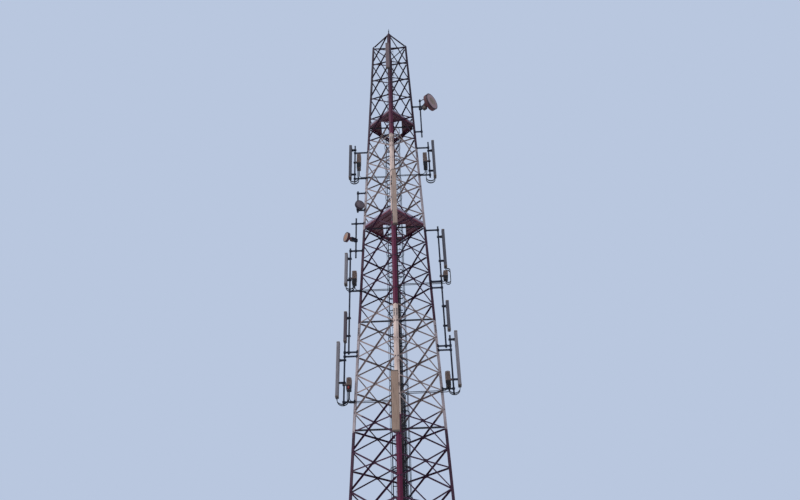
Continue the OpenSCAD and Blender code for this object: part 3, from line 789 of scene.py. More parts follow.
@dataclass(frozen=True)
class Tower:
    """Sizes of the steelwork and the places that follow from them."""

    base_side: float = 3390.0
    top_side: float = 1440.0
    foot_h: float = 270.0
    head_h: float = 130.0
    bay_heights: tuple[float, ...] = (1380.0, 1590.0, 1730.0, 1730.0, 1670.0, 1580.0, 1520.0)
    section_bays: tuple[float, ...] = (2.5, 3.0, 3.0, 3.0, 3.0, 3.0, 4.5)
    leg_w: float = 150.0
    leg_t: float = 14.0
    gauge: float = 75.0
    brace_w: float = 60.0
    brace_t: float = 6.0
    seat: float = 0.3
    first_horizontal: int = 4
    joints: tuple[float, ...] = (2.75, 5.75, 8.75, 11.75, 14.75, 17.75)
    beam_bays: tuple[int, ...] = (4, 8, 11, 14, 17, 20)
    beam_w: float = 70.0

    @property
    def bays(self) -> int:
        """Number of bays."""
        return int(sum(self.section_bays))

    def drop(self, level: float) -> float:
        """Gives how far a level is below the top node.

        Args:
            level: Number of bays below the top node, whole or not.

        Returns:
            The drop in millimetres.
        """
        fallen, left = 0.0, level
        for height, share in zip(self.bay_heights, self.section_bays):
            fallen += height * max(0.0, min(share, left))
            left -= share
        return fallen

    @property
    def height(self) -> float:
        """Height of the legs."""
        return self.foot_h + self.drop(self.bays) + self.head_h

    def z(self, level: float) -> float:
        """Gives the height of a level."""
        return self.height - self.head_h - self.drop(level)

    def half(self, z: float) -> float:
        """Gives half the side of the tower at a height."""
        return (self.base_side + (self.top_side - self.base_side) * z / self.height) / 2

    def corner(self, z: float) -> float:
        """Gives the distance of a leg's outer corner from the middle at a height."""
        return self.half(z) * math.sqrt(2)

    @property
    def face_lean(self) -> float:
        """Lean of a face in degrees."""
        return math.degrees(math.atan((self.base_side - self.top_side) / 2 / self.height))

    @property
    def leg_lean(self) -> float:
        """Lean of a leg in degrees."""
        return math.degrees(math.atan((self.base_side - self.top_side) / math.sqrt(2) / self.height))

    def bolt_half(self, z: float) -> float:
        """Gives the distance of a leg's bolt line from the middle of a face."""
        return self.half(z) - self.gauge

    def cross_z(self, bay: int) -> float:
        """Gives the height at which a bay's two braces cross."""
        low, high = self.z(bay + 1), self.z(bay)
        return low + (high - low) * self.bolt_half(low) / (self.bolt_half(high) + self.bolt_half(low))

    @property
    def beams(self) -> list[float]:
        """Heights of the ladder beams' undersides."""
        on_bays = [self.cross_z(bay) + self.brace_w / 2 + self.seat for bay in self.beam_bays]
        return on_bays + [self.height - self.brace_w - self.beam_w - 2 * self.seat]

    def on_face(self, turn: float) -> Matrix:
        """Gives the plane of a face: X along it, Z up its slope and -Y outwards."""
        return turned(turn) @ moved(y=-self.base_side / 2) @ turned(-self.face_lean, "X")

    def along_leg(self, corner: Corner, z: float) -> Matrix:
        """Gives the frame on a leg's outer corner: Z runs up the leg, and its flanges along -X and -Y."""
        return corner.at(self.corner(z), 0.0, z) @ turned(-self.leg_lean, "Y") @ turned(-45.0)

    def on_slope(self, x: float, y: float, z: float) -> Matrix:
        """Gives a place in a face's plane at a height, with Z pointing out of the face."""
        return moved(x, y, z / math.cos(math.radians(self.face_lean))) @ turned(90.0, "X")


TOWER = Tower()
FACES = {"front_left": 0.0, "front_right": 90.0, "rear_right": 180.0, "rear_left": 270.0}


@dataclass(frozen=True)
class Pipe:
    """An antenna pipe: its corner, the levels of its arms, its reach from the leg at the lowest arm, its length
    above the top arm and below the lowest one, and the length of the top arm past it."""

    corner: Corner
    levels: tuple[float, ...]
    reach: float
    over: float
    under: float
    stub: float = 0.0

    @property
    def out(self) -> float:
        """Distance of the pipe from the tower's middle."""
        return TOWER.corner(TOWER.z(self.levels[-1])) + self.reach

    def at(self, z: float) -> Matrix:
        """Gives the place on the pipe at a height, with +X out of the corner."""
        return self.corner.at(self.out, 0.0, z)

    def arm_z(self, arm: int) -> float:
        """Gives the height of an arm."""
        return TOWER.z(self.levels[arm])

    def mid_z(self, upper: int, lower: int) -> float:
        """Gives the height halfway between two arms."""
        return (self.arm_z(upper) + self.arm_z(lower)) / 2


RIGHT_DISH_PIPE = Pipe(Corner.RIGHT, (3.5, 4.7), 325, 550, 400)
RIGHT_UPPER_PIPE = Pipe(Corner.RIGHT, (5.45, 6.55), 505, 380, 170)
RIGHT_MIDDLE_PIPE = Pipe(Corner.RIGHT, (8.6, 10.3, 10.5, 12.25), 325, 200, 90)
RIGHT_LOWER_PIPE = Pipe(Corner.RIGHT, (12.25, 12.37, 13.45), 440, 500, 250)
LEFT_UPPER_PIPE = Pipe(Corner.LEFT, (5.55, 6.58), 565, 500, 250)
LEFT_UPPER_DISH_PIPE = Pipe(Corner.LEFT, (7.15, 7.78), 310, 120, 120)
LEFT_LOWER_DISH_PIPE = Pipe(Corner.LEFT, (8.26, 9.2), 285, 320, 400, 190)
LEFT_MIDDLE_PIPE = Pipe(Corner.LEFT, (9.2, 10.5, 12.33), 340, 140, 90)
LEFT_LOWER_PIPE = Pipe(Corner.LEFT, (12.33, 12.45, 13.7), 425, 450, 110)
FRONT_TOP_PIPE = Pipe(Corner.FRONT, (1.19, 2.2), 130, 120, 120)
FRONT_MIDDLE_PIPE = Pipe(Corner.FRONT, (7.43, 8.82), 130, 120, 120)
FRONT_LOWER_PIPE = Pipe(Corner.FRONT, (13.75, 14.78), 130, 120, 120)
PIPES = {
    "right": (RIGHT_DISH_PIPE, RIGHT_UPPER_PIPE, RIGHT_MIDDLE_PIPE, RIGHT_LOWER_PIPE),
    "left": (LEFT_UPPER_PIPE, LEFT_UPPER_DISH_PIPE, LEFT_LOWER_DISH_PIPE, LEFT_MIDDLE_PIPE, LEFT_LOWER_PIPE),
    "front": (FRONT_TOP_PIPE, FRONT_MIDDLE_PIPE, FRONT_LOWER_PIPE),
}


# ---- Steelwork ----


@dataclass(frozen=True)
class LatticeBolts:
    """Bolts of the four lattice faces and of the leg joints."""

    size: float = 20.0
    joint_columns: tuple[float, ...] = (-52.0, -98.0)
    joint_rows: tuple[float, ...] = (-160.0, -95.0, -35.0, 35.0, 95.0, 160.0)
    splice_t: float = 10.0
    # What a horizontal adds to the grip of the bolts that it is on
    slack: float = 1.0

    def face(self, turn: float) -> Shape:
        """Makes the bolts of one face: where braces meet a leg, where they cross, and at the horizontals.

        Args:
            turn: Turn of the face about the tower's axis, in degrees.

        Returns:
            The face's bolts.
        """
        t = TOWER
        shape, plane = Shape(), t.on_face(turn)
        outer = -t.seat - t.brace_t
        inner = t.leg_t + t.seat + t.brace_t
        for level, side in product(range(t.bays + 1), SIDES):
            place = t.on_slope(side * t.bolt_half(t.z(level)), outer, t.z(level))
            shape.bolt(plane @ place, self.size, inner - outer)
        for bay in range(t.bays):
            z = t.cross_z(bay)
            crossed = bay >= t.first_horizontal
            shape.bolt(plane @ t.on_slope(0.0, outer, z), self.size, inner - outer + self.slack * crossed)
            for side in SIDES if crossed else ():
                shape.bolt(plane @ t.on_slope(side * t.bolt_half(z), 0.0, z), self.size, inner + self.slack)
        return shape

    def joint(self, shape: Shape, corner: Corner, level: float) -> None:
        """Adds the bolts of one leg joint, through both flanges.

        Args:
            shape: The piece that gets them.
            corner: The leg's corner.
            level: The joint's level.
        """
        leg = TOWER.along_leg(corner, TOWER.z(level))
        grip = TOWER.leg_t + self.splice_t
        for column, row in product(self.joint_columns, self.joint_rows):
            shape.bolt(leg @ moved(column, 0.0, row) @ turned(-90.0, "X"), self.size, grip)
            shape.bolt(leg @ moved(0.0, column, row) @ turned(90.0, "Y"), self.size, grip)

    def build(self) -> None:
        """Makes one piece for each face and one for each leg's joints."""
        for name, turn in FACES.items():
            self.face(turn).piece(f"{name}_brace_bolts", [FASTENER], "galvanised_steel")
        for corner in Corner:
            shape = Shape()
            for level in TOWER.joints:
                self.joint(shape, corner, level)
            shape.piece(f"{corner.name.lower()}_joint_bolts", [FASTENER], "galvanised_steel")


@dataclass(frozen=True)
class Footings:
    """Anchor studs with their nuts and square washers, and the welds of the legs on the base plates."""

    plate_t: float = 25.0
    plate_in: float = 60.0
    pitch: float = 330.0
    stud_r: float = 15.0
    tip_r: float = 11.0
    tip_h: float = 6.0
    stud_top: float = 120.0
    washer: Triple = (76.0, 76.0, 8.0)
    washer_z: float = 4.3
    nut: Profile = ((24.0, 0.0), (26.5, 2.0), (26.5, 22.0), (24.0, 24.0))
    nut_zs: tuple[float, ...] = (8.5, 33.5)
    bead: float = 5.0
    ripple: float = 9.0
    # How far a bead's middle is from the angle's face
    root: float = 2.0

    def weld(self, shape: Shape, place: Matrix, start: Triple, end: Triple) -> None:
        """Adds a rippled weld bead from start to end.

        Args:
            shape: The piece that gets it.
            place: The frame that its ends are given in.
            start: Its first end.
            end: Its other end.
        """
        a, b = Vector(start), Vector(end)
        steps = max(4, int((b - a).length / self.ripple))
        shape.sweep([a.lerp(b, i / steps) for i in range(steps + 1)],
                    lambda i: self.bead * (0.8 + 0.25 * (i % 2)), mark=1, place=place)

    def stud(self, shape: Shape, hole: Matrix, spin: int) -> None:
        """Adds one anchor stud with its washer and two nuts, whose corners don't line up.

        Args:
            shape: The piece that gets it.
            hole: The top of its hole in the base plate.
            spin: A number that sets the turn of its nuts.
        """
        shape.block(hole @ moved(z=self.washer_z), self.washer, 1.5)
        for z in self.nut_zs:
            shape.lathe(hole @ moved(z=z) @ turned(20.0 * (spin + z)), self.nut, 6)
        shape.lathe(hole, [(self.stud_r, 1.0 - self.plate_t), (self.stud_r, self.stud_top - self.tip_h),
                           (self.tip_r, self.stud_top)], 20)

    def build(self) -> None:
        """Makes one piece for each footing."""
        t = TOWER
        mid = t.base_side / 2 - self.plate_in
        for corner in Corner:
            shape = Shape()
            square = turned(corner.value - 45.0)
            for x, y in product(SIDES, SIDES):
                hole = square @ moved(mid + x * self.pitch / 2, mid + y * self.pitch / 2, self.plate_t)
                self.stud(shape, hole, x)
            leg = square @ moved(t.half(self.plate_t), t.half(self.plate_t), self.plate_t + 1.0)
            for line, end in ((self.root, 0.0), (-t.leg_t - self.root, -t.leg_t)):
                self.weld(shape, leg, (-t.leg_w, line, 0.0), (end, line, 0.0))
                self.weld(shape, leg, (line, -t.leg_w, 0.0), (line, end, 0.0))
            shape.piece(f"{corner.name.lower()}_anchor_studs", [FASTENER, PAINT], "galvanised_steel")


@dataclass(frozen=True)
class Platform:
    """Stiffeners under a deck, and the bolts of the angles round it."""

    name: str
    bay: int
    hatch_front: float
    hatch_back: float = 940.0
    hatch_w: float = 1100.0
    bearer_w: float = 80.0
    toe_h: float = 120.0
    leg_gap: float = 2.0
    rib_pitch: float = 260.0
    rib_t: float = 6.0
    rib_h: float = 40.0
    step: float = 10.0
    # Gaps from a rib to the bearers and to the opening
    edge_gap: float = 12.0
    hatch_gap: float = 30.0
    bolt_d: float = 12.0
    bolt_in: float = 42.0
    bolt_z: float = 6.2
    row_end: float = 120.0
    brace_gap: float = 80.0

    @property
    def deck_z(self) -> float:
        """Height of the deck's underside."""
        return TOWER.cross_z(self.bay) + TOWER.brace_w / 2 + TOWER.beam_w + 2 * TOWER.seat + self.bearer_w

    @property
    def half(self) -> float:
        """Half the side of the platform."""
        return TOWER.half(self.deck_z + self.toe_h) - TOWER.leg_t - self.leg_gap

    def plated(self, x: float, y: float) -> bool:
        """Tells whether the deck has plate over a point, clear of its opening and its edge.

        Args:
            x: The point's place along X.
            y: The point's place along Y.

        Returns:
            True where a stiffener can run.
        """
        back, across = (y - x) / math.sqrt(2), (x + y) / math.sqrt(2)
        if max(abs(x), abs(y)) > self.half - self.bearer_w - self.edge_gap:
            return False
        beside = abs(across) > self.hatch_w / 2 + self.hatch_gap or math.isclose(
            abs(across), self.hatch_w / 2 + self.hatch_gap)
        return beside or not -self.hatch_front - self.hatch_gap < back < self.hatch_back + self.hatch_gap

    def ribs(self) -> Shape:
        """Makes the flat bars under the deck.

        Returns:
            The bars of the whole deck.
        """
        shape = Shape()
        count = int(2 * self.half / self.rib_pitch)
        reach = int(self.half / self.step)
        for k in range(count + 1):
            y = (k - count / 2) * self.rib_pitch
            run: list[float] = []
            for i in range(-reach, reach + 2):
                if self.plated(i * self.step, y):
                    run.append(i * self.step)
                    continue
                # A run of under nine steps is too short for a bar
                if len(run) > 8:
                    middle = moved((run[0] + run[-1]) / 2, y, self.deck_z - self.rib_h / 2 - TOWER.seat)
                    shape.block(middle, (run[-1] - run[0], self.rib_t, self.rib_h))
                run = []
        return shape

    def edge_bolts(self) -> Shape:
        """Makes the bolts that hold the deck plate to the angles under its edges, clear of the braces.

        Returns:
            The bolts of the four edges.
        """
        shape = Shape()
        high, low = TOWER.z(self.bay), TOWER.z(self.bay + 1)
        share = (high - self.deck_z) / (high - low)
        brace_x = share * TOWER.bolt_half(low) - (1 - share) * TOWER.bolt_half(high)
        for turn, k in product(FACES.values(), range(-4, 5)):
            x = (self.half - self.row_end) * k / 4
            if abs(x - brace_x) > self.brace_gap:
                place = moved(x, self.bolt_in - self.half, self.deck_z + self.bolt_z)
                shape.bolt(turned(turn) @ place, self.bolt_d, self.bolt_d)
        return shape

    def build(self) -> None:
        """Makes the platform's pieces."""
        self.ribs().piece(f"{self.name}_deck_ribs", [DECK_PAINT], "painted_steel")
        self.edge_bolts().piece(f"{self.name}_deck_bolts", [FASTENER], "galvanised_steel")


PLATFORMS = (Platform("upper", 4, 420.0), Platform("lower", 8, 200.0))


@dataclass(frozen=True)
class ClimbingWay:
    """Clips and splice plates of the climbing ladder, and the bolts of its cage."""

    width: float = 420.0
    rail_d: float = 50.0
    front: float = -35.3
    foot: float = 300.0
    clip: Triple = (70.0, 9.0, 60.0)
    cleat: Triple = (60.0, 40.0, 8.0)
    splice: Triple = (40.0, 6.0, 190.0)
    splice_every: float = 6000.0
    splice_bolts: tuple[float, ...] = (-70.0, -30.0, 30.0, 70.0)
    cage_r: float = 430.0
    cage_foot: float = 2300.0
    hoop_pitch: float = 1200.0
    bar_turn: float = 55.0
    lug: Triple = (44.0, 12.0, 44.0)

    @property
    def rung_x(self) -> float:
        """Place of the rungs towards the front leg."""
        return self.front - self.rail_d / 2

    def clips(self) -> Shape:
        """Makes the clips on the beams and the splice plates of the rails.

        Returns:
            The clips, the splice plates and their bolts.
        """
        shape = Shape()
        for z, side in product(TOWER.beams, SIDES):
            rail = Corner.FRONT.at(self.rung_x, side * self.width / 2, z)
            shape.block(rail @ moved(12.0, side * 5.3, 38.6), self.clip, 1.2)
            shape.block(rail @ moved(self.rail_d / 2 + 40.0, side * 24.0, 12.6), self.cleat, 1.2)
            for dz in (24.0, 54.0):
                shape.bolt(rail @ moved(-4.0, side * 9.8, dz) @ turned(-90.0 * side, "X"), 12.0, 20.0)
        for z in np.arange(self.foot + self.splice_every, TOWER.height, self.splice_every):
            for side in SIDES:
                rail = Corner.FRONT.at(self.rung_x, side * (self.width / 2 + 3.3), float(z))
                shape.block(rail, self.splice)
                for dz in self.splice_bolts:
                    shape.bolt(rail @ moved(0.0, side * 3.0, dz) @ turned(-90.0 * side, "X"), 10.0, 16.0)
        return shape

    def cage_bolts(self) -> Shape:
        """Makes the bolts where the cage's hoops meet its flat bars and the ladder's rails.

        Returns:
            The bolts, and the lugs on the rails.
        """
        shape = Shape()
        top = PLATFORMS[0].deck_z
        hoops = math.ceil((top - self.cage_foot) / self.hoop_pitch)
        middle = self.rung_x - math.sqrt(self.cage_r**2 - (self.width / 2) ** 2)
        for i in range(hoops + 1):
            hoop = Corner.FRONT.at(middle, 0.0, self.cage_foot + i * (top - self.cage_foot) / hoops)
            for k in range(-2, 3):
                bar = hoop @ turned(180.0 + self.bar_turn * k) @ moved(self.cage_r)
                shape.bolt(bar @ turned(90.0, "Y"), 10.0, 12.0)
            for side in SIDES:
                x, y = self.rung_x - middle, side * (self.width / 2 + 9.0)
                shape.block(hoop @ moved(x - 6.0, y), self.lug, 1.5)
                shape.bolt(hoop @ moved(x, y + side * 6.0) @ turned(-90.0 * side, "X"), 10.0, 22.0)
        return shape

    def build(self) -> None:
        """Makes the pieces."""
        self.clips().piece("ladder_clips", [SHADED_ZINC], "galvanised_steel")
        self.cage_bolts().piece("cage_bolts", [FASTENER], "galvanised_steel")


# ---- Antennas, radio units and dishes ----


class Mark(IntEnum):
    """Numbers of the finishes of a panel antenna's or a radio unit's fittings.

    BODY is a panel's end cap or a unit's housing, and SHELL a panel's radome or a unit's black casting.
    """

    BODY = 0
    SHELL = 1
    FASTENER = 2
    STEEL = 3
    LAMP = 4


class MountMark(IntEnum):
    """Numbers of the finishes of the antenna pipes' fittings."""

    FASTENER = 0
    STEEL = 1
    CAP = 2


@dataclass(frozen=True)
class PipeHardware:
    """Bolts of the saddles and pipe clamps, welds of the arms, and caps of the pipes of one corner."""

    name: str
    saddle_t: float = 10.0
    saddle_bolt: float = 16.0
    saddle_along: tuple[float, ...] = (-48.0, -84.0)
    saddle_up: tuple[float, ...] = (-52.0, 52.0)
    arm_w: float = 60.0
    clamp_w: float = 100.0
    clamp_h: float = 82.0
    clamp_bolt: float = 14.0
    clamp_across: tuple[float, ...] = (-37.0, 37.0)
    clamp_up: tuple[float, ...] = (-24.0, 24.0)
    cap: Profile = ((41.0, -18.0), (41.0, 2.0), (36.0, 6.0), (18.0, 9.0))

    def arm(self, shape: Shape, pipe: Pipe, level: float) -> None:
        """Adds the bolts and the weld of one arm, and the split of its clamp beside the pipe.

        Args:
            shape: The piece that gets them.
            pipe: The pipe that the arm carries.
            level: The arm's level.
        """
        z = TOWER.z(level)
        leg = TOWER.along_leg(pipe.corner, z)
        out = self.saddle_t + TOWER.seat
        for along, up in product(self.saddle_along, self.saddle_up):
            for place in (moved(along, out, up) @ turned(-90.0, "X"), moved(out, along, up) @ turned(90.0, "Y")):
                shape.bolt(leg @ place, self.saddle_bolt, out + TOWER.leg_t)
        clamp = pipe.at(z)
        for across, up in product(self.clamp_across, self.clamp_up):
            place = moved(self.clamp_w / 2, across, up) @ turned(90.0, "Y")
            shape.bolt(clamp @ place, self.clamp_bolt, self.clamp_w)
        shape.block(clamp, (5.0, self.clamp_w + 3.0, self.clamp_h), 0.8, MountMark.STEEL)
        root = pipe.corner.at(TOWER.corner(z) + self.saddle_t + 4.0, 0.0, z) @ turned(90.0, "Y")
        ring = rounded(self.arm_w + 5.0, self.arm_w + 5.0, 4.0, 1)
        less = rounded(self.arm_w + 1.0, self.arm_w + 1.0, 3.0, 1)
        shape.stack(root, [(ring, -6.0), (ring, 0.0), (less, 6.0)], MountMark.STEEL)

    def build(self) -> None:
        """Makes the corner's piece, with the ends of the arms that reach past their pipe."""
        shape = Shape()
        for pipe in PIPES[self.name]:
            for level in pipe.levels:
                self.arm(shape, pipe, level)
            if pipe.stub:
                past = pipe.out + (self.clamp_w + pipe.stub) / 2 + 1.0
                end = pipe.corner.at(past, 0.0, pipe.arm_z(0))
                shape.block(end, (pipe.stub, self.arm_w, self.arm_w), 2.0, MountMark.STEEL)
            top, low = pipe.at(pipe.arm_z(0) + pipe.over), pipe.at(pipe.arm_z(-1) - pipe.under)
            for end in (top, low @ turned(180.0, "X")):
                shape.lathe(end, self.cap, 24, MountMark.CAP)
        shape.piece(f"{self.name}_mount_bolts", [FASTENER, SHADED_ZINC, JACKET], "galvanised_steel")


# Sockets under a panel antenna or a radio unit: the middle of the first from the body's edge, and the next ones
SOCKET_EDGE = 30.0
SOCKET_PITCH = 28.0
SOCKET_ROW_W = 280.0


def socket_ys(width: float) -> tuple[float, ...]:
    """Gives the places of the six jumper sockets across a body of a width."""
    return tuple(side * (width / 2 - SOCKET_EDGE - SOCKET_PITCH * i) for side in SIDES for i in range(3))


def collar(shape: Shape, socket: Matrix, top: float) -> None:
    """Adds the hexagonal collar of a plug under a socket, up to a height."""
    shape.lathe(socket, [(13.1, -30.0), (13.9, -28.0), (13.9, top - 2.0), (13.1, top)], 8, Mark.FASTENER)


def pipe_jaw(shape: Shape, place: Matrix, reach: float, nuts: tuple[float, ...]) -> None:
    """Adds the jaw behind a pipe, and the four threaded rods that pull it to what the pipe carries.

    Args:
        shape: The piece that gets them.
        place: The middle of the clamp on the pipe, with +X towards what it carries.
        reach: Length of the rods.
        nuts: Places of the nuts on each rod.
    """
    shape.block(place @ moved(-54.0), (28.0, 118.0, 56.0), 3.0, Mark.STEEL)
    for side, up in product(SIDES, (-17.0, 17.0)):
        rod = place @ moved(-78.0, side * 53.0, up) @ turned(90.0, "Y")
        shape.lathe(rod, [(6.0, 0.0), (6.0, reach)], 10, Mark.FASTENER)
        for along in nuts:
            shape.lathe(rod @ moved(z=along), [(10.5, 0.0), (10.5, 9.0)], 6, Mark.FASTENER)


@dataclass(frozen=True)
class Carried:
    """What a pipe carries: its name, its pipe, the numbers of the arms that it is set between, its height, and how
    far its middle is above the middle of those arms."""

    name: str
    pipe: Pipe
    arms: tuple[int, int]
    height: float
    rise: float

    @property
    def z(self) -> float:
        """Height of its middle."""
        return self.pipe.mid_z(*self.arms) + self.rise


@dataclass(frozen=True)
class PanelAntenna(Carried):
    """A panel antenna: the heights of its brackets, its gap from the pipe, its offset sideways, and its sizes."""

    brackets: tuple[float, ...]
    gap: float
    side: float = 0.0
    width: float = 280.0
    depth: float = 140.0
    radius: float = 35.0
    # How far each ring of an end cap stands out of the radome, and its height above the radome's end
    cap: Profile = ((1.2, -46.0), (3.0, -44.0), (3.0, -2.0), (0.0, 3.0), (-14.0, 5.0))
    cheek: Triple = (90.0, 6.0, 74.0)
    radome: GlassFibre = GlassFibre()

    @property
    def place(self) -> Matrix:
        """Frame on its pipe at its middle height, with +X out of the corner."""
        return self.pipe.at(self.z)

    @property
    def sockets(self) -> list[Matrix]:
        """Places of its jumper sockets."""
        return [self.place @ moved(self.gap + self.depth / 2, self.side + y, -self.height / 2)
                for y in socket_ys(self.width)]

    @property
    def finish(self) -> Zoned:
        """Radome beyond the back of the antenna, and galvanised clamps before it."""
        out = self.pipe.corner.place @ Vector((1.0, 0.0, 0.0))
        return Zoned(SHADED_ZINC, self.radome, tuple(out), self.pipe.out + self.gap - 0.5)

    def caps(self, shape: Shape) -> None:
        """Adds the moulded caps at both ends of the radome.

        Args:
            shape: The piece that gets them.
        """
        body = self.place @ moved(self.gap + self.depth / 2, self.side)
        rings = [(rounded(self.depth + 2 * grow, self.width + 2 * grow, self.radius + grow, 5), up)
                 for grow, up in self.cap]
        for z, turn in ((self.height / 2, 0.0), (-self.height / 2, 180.0)):
            shape.stack(body @ moved(z=z) @ turned(turn, "X"), rings, Mark.BODY)

    def seams(self, shape: Shape) -> None:
        """Adds the rail where the radome is fixed to its metal back.

        Args:
            shape: The piece that gets them.
        """
        for side in SIDES:
            edge = self.place @ moved(self.gap + 38.0, self.side + side * (self.width / 2 + 1.0))
            shape.block(edge, (9.0, 4.0, self.height - 110.0), 1.2, Mark.SHELL)

    def plugs(self, shape: Shape) -> None:
        """Adds the collars of its sockets and of the plugs in them.

        Args:
            shape: The piece that gets them.
        """
        for socket in self.sockets:
            shape.lathe(socket, [(13.1, -16.0), (13.8, -14.0), (13.8, -4.0)], 16, Mark.FASTENER)
            collar(shape, socket, -18.0)

    def bracket(self, shape: Shape, z: float, tilts: bool) -> None:
        """Adds the jaw and the rods of one bracket, and cheek plates if it tilts.

        Args:
            shape: The piece that gets them.
            z: Its height above the antenna's middle.
            tilts: Whether it has cheek plates to tilt the antenna.
        """
        here = self.place @ moved(z=z)
        pipe_jaw(shape, here, self.gap + 70.0, (8.0, 92.0))
        for side in SIDES if tilts else ():
            shape.block(here @ moved(self.gap - 32.0, side * 60.0), self.cheek, 2.0, Mark.STEEL)
            shape.bolt(here @ moved(self.gap - 60.0, side * 63.0) @ turned(-90.0 * side, "X"), 12.0, 8.0)

    def build(self) -> None:
        """Makes the antenna's piece."""
        shape = Shape()
        self.caps(shape)
        self.seams(shape)
        self.plugs(shape)
        for i, z in enumerate(self.brackets):
            self.bracket(shape, z, i == 0)
        shape.piece(f"{self.name}_fittings", [END_CAP, self.radome, FASTENER, SHADED_ZINC], "radome")


TOP_RADOME = GlassFibre("#6f5f62", "#7b696a", "#51474c")
MIDDLE_RADOME = GlassFibre("#9a857a", "#b09a8e", "#7e6c63")
SIDE_RADOME = GlassFibre("#4f4e57", "#5a5962", "#3a393f")
SHORT_RADOME = GlassFibre("#544a52", "#5f545c", "#3f373d")
LOWER_RADOME = GlassFibre("#78757b", "#848087", "#5d5a60")
PANELS = (
    PanelAntenna("right_upper_panel", RIGHT_UPPER_PIPE, (0, 1), 2460, 130, (600, -800), 180, radome=SIDE_RADOME),
    PanelAntenna("right_middle_panel", RIGHT_MIDDLE_PIPE, (0, 1), 2120, 360, (700, -700), 170, radome=SIDE_RADOME),
    PanelAntenna("right_short_panel", RIGHT_MIDDLE_PIPE, (2, 3), 1460, 0, (500, -500), 120, radome=SIDE_RADOME),
    PanelAntenna("right_lower_panel", RIGHT_LOWER_PIPE, (1, 2), 2570, 480, (920, -970), 200, radome=LOWER_RADOME),
    PanelAntenna("left_upper_panel", LEFT_UPPER_PIPE, (0, 1), 2210, 260, (850, -850), 170, radome=SIDE_RADOME),
    PanelAntenna("left_middle_panel", LEFT_MIDDLE_PIPE, (0, 1), 1720, 90, (600, -600), 120, radome=LOWER_RADOME),
    PanelAntenna("left_short_panel", LEFT_MIDDLE_PIPE, (1, 2), 1460, -300, (450, -450), 100, radome=SHORT_RADOME),
    PanelAntenna("left_lower_panel", LEFT_LOWER_PIPE, (1, 2), 2560, 450, (430, -620), 220, radome=LOWER_RADOME),
    PanelAntenna("front_top_panel", FRONT_TOP_PIPE, (0, 1), 2050, 0, (450, -450), 80, -85, 210.0, radome=TOP_RADOME),
    PanelAntenna("front_middle_panel", FRONT_MIDDLE_PIPE, (0, 1), 3300, -80, (900, -900), 80, 95, 210.0,
                 radome=MIDDLE_RADOME),
    PanelAntenna("front_lower_panel", FRONT_LOWER_PIPE, (0, 1), 2460, 0, (550, -550), 80, -80),
)


@dataclass(frozen=True)
class RadioUnit(Carried):
    """A radio unit: its side of the pipe, its gap from it, its sizes, and whether a red lamp is on it."""

    side: int
    width: float = 320.0
    depth: float = 190.0
    gap: float = 110.0
    lamp: bool = False
    fins_on_side: int = 9
    vents: int = 7
    # Shares of the height: the middle of the fins and the shield, their lengths, and the casing
    fin_rise: float = 0.17
    fin_share: float = 0.60
    shield_share: float = 0.64
    case_share: float = 0.36

    @property
    def place(self) -> Matrix:
        """Frame on its pipe at its middle height, with +X towards the unit."""
        return self.pipe.at(self.z) @ turned(0.0 if self.side > 0 else 180.0)

    @property
    def sockets(self) -> list[Matrix]:
        """Places of its jumper sockets."""
        return [self.place @ moved(self.gap + self.depth / 2, y, -self.height / 2) for y in socket_ys(SOCKET_ROW_W)]

    def fins(self, shape: Shape) -> None:
        """Adds the cooling fins on both sides and the vented sun shield over the front.

        Args:
            shape: The piece that gets them.
        """
        up = self.height * self.fin_rise
        for side, k in product(SIDES, range(self.fins_on_side)):
            x = self.gap + 16.0 + k * (self.depth - 32.0) / (self.fins_on_side - 1)
            fin = self.place @ moved(x, side * (self.width / 2 + 8.0), up)
            shape.block(fin, (4.0, 17.0, self.height * self.fin_share), 1.0, Mark.BODY)
        front = self.place @ moved(self.gap + self.depth + 9.0, 0.0, up)
        shape.block(front, (20.0, self.width - 6.0, self.height * self.shield_share), 5.0, Mark.BODY, 8.0)
        for k in range(self.vents):
            vent = front @ moved(10.5, 0.0, self.height * (k / (self.vents - 1) - 0.5) * 0.42)
            shape.block(vent, (2.0, self.width * 0.62, 7.0), 0.6, Mark.SHELL)

    def lower_case(self, shape: Shape) -> None:
        """Adds the black casing of the connectors, with its collars and the bolts of its cover.

        Args:
            shape: The piece that gets them.
        """
        tall = self.height * self.case_share
        case = self.place @ moved(self.gap + self.depth / 2, 0.0, -self.height / 2 + tall / 2)
        shape.block(case, (self.depth + 10.0, self.width + 10.0, tall), 4.0, Mark.SHELL, 10.0)
        for side, up in product(SIDES, (-0.3, 0.3)):
            corner = case @ moved(self.depth / 2 + 5.0, side * 130.0, up * tall)
            shape.bolt(corner @ turned(90.0, "Y"), 8.0, 4.0)
        for socket in self.sockets:
            collar(shape, socket, -14.0)

    def handles(self, shape: Shape) -> None:
        """Adds the carrying handles on top and the bracket behind the unit.

        Args:
            shape: The piece that gets them.
        """
        x, top = self.gap + 50.0, self.height / 2
        for y in (-90.0, 90.0):
            path = [(x, y, top - 4.0), (x, y, top + 34.0), (x + 8.0, y, top + 42.0), (x + 82.0, y, top + 42.0),
                    (x + 90.0, y, top + 34.0), (x + 90.0, y, top - 4.0)]
            shape.sweep(path, 6.5, 8, Mark.SHELL, self.place)
        back = (12.0, 150.0, min(self.height * 0.8, 420.0))
        shape.block(self.place @ moved(self.gap - 7.0), back, 2.0, Mark.STEEL)
        pipe_jaw(shape, self.place, self.gap + 66.0, (8.0,))

    def build(self) -> None:
        """Makes the unit's piece."""
        shape = Shape()
        self.fins(shape)
        self.lower_case(shape)
        self.handles(shape)
        if self.lamp:
            box = moved(self.gap + self.depth / 2, -self.width / 2 - 26.0, -self.height / 2 + 70.0)
            shape.block(self.place @ box, (70.0, 40.0, 110.0), 4.0, Mark.LAMP, 8.0)
        finishes = [RADIO_HOUSING, BLACK_CASTING, FASTENER, SHADED_ZINC, RED_LAMP]
        shape.piece(f"{self.name}_fittings", finishes, "radio_housing")


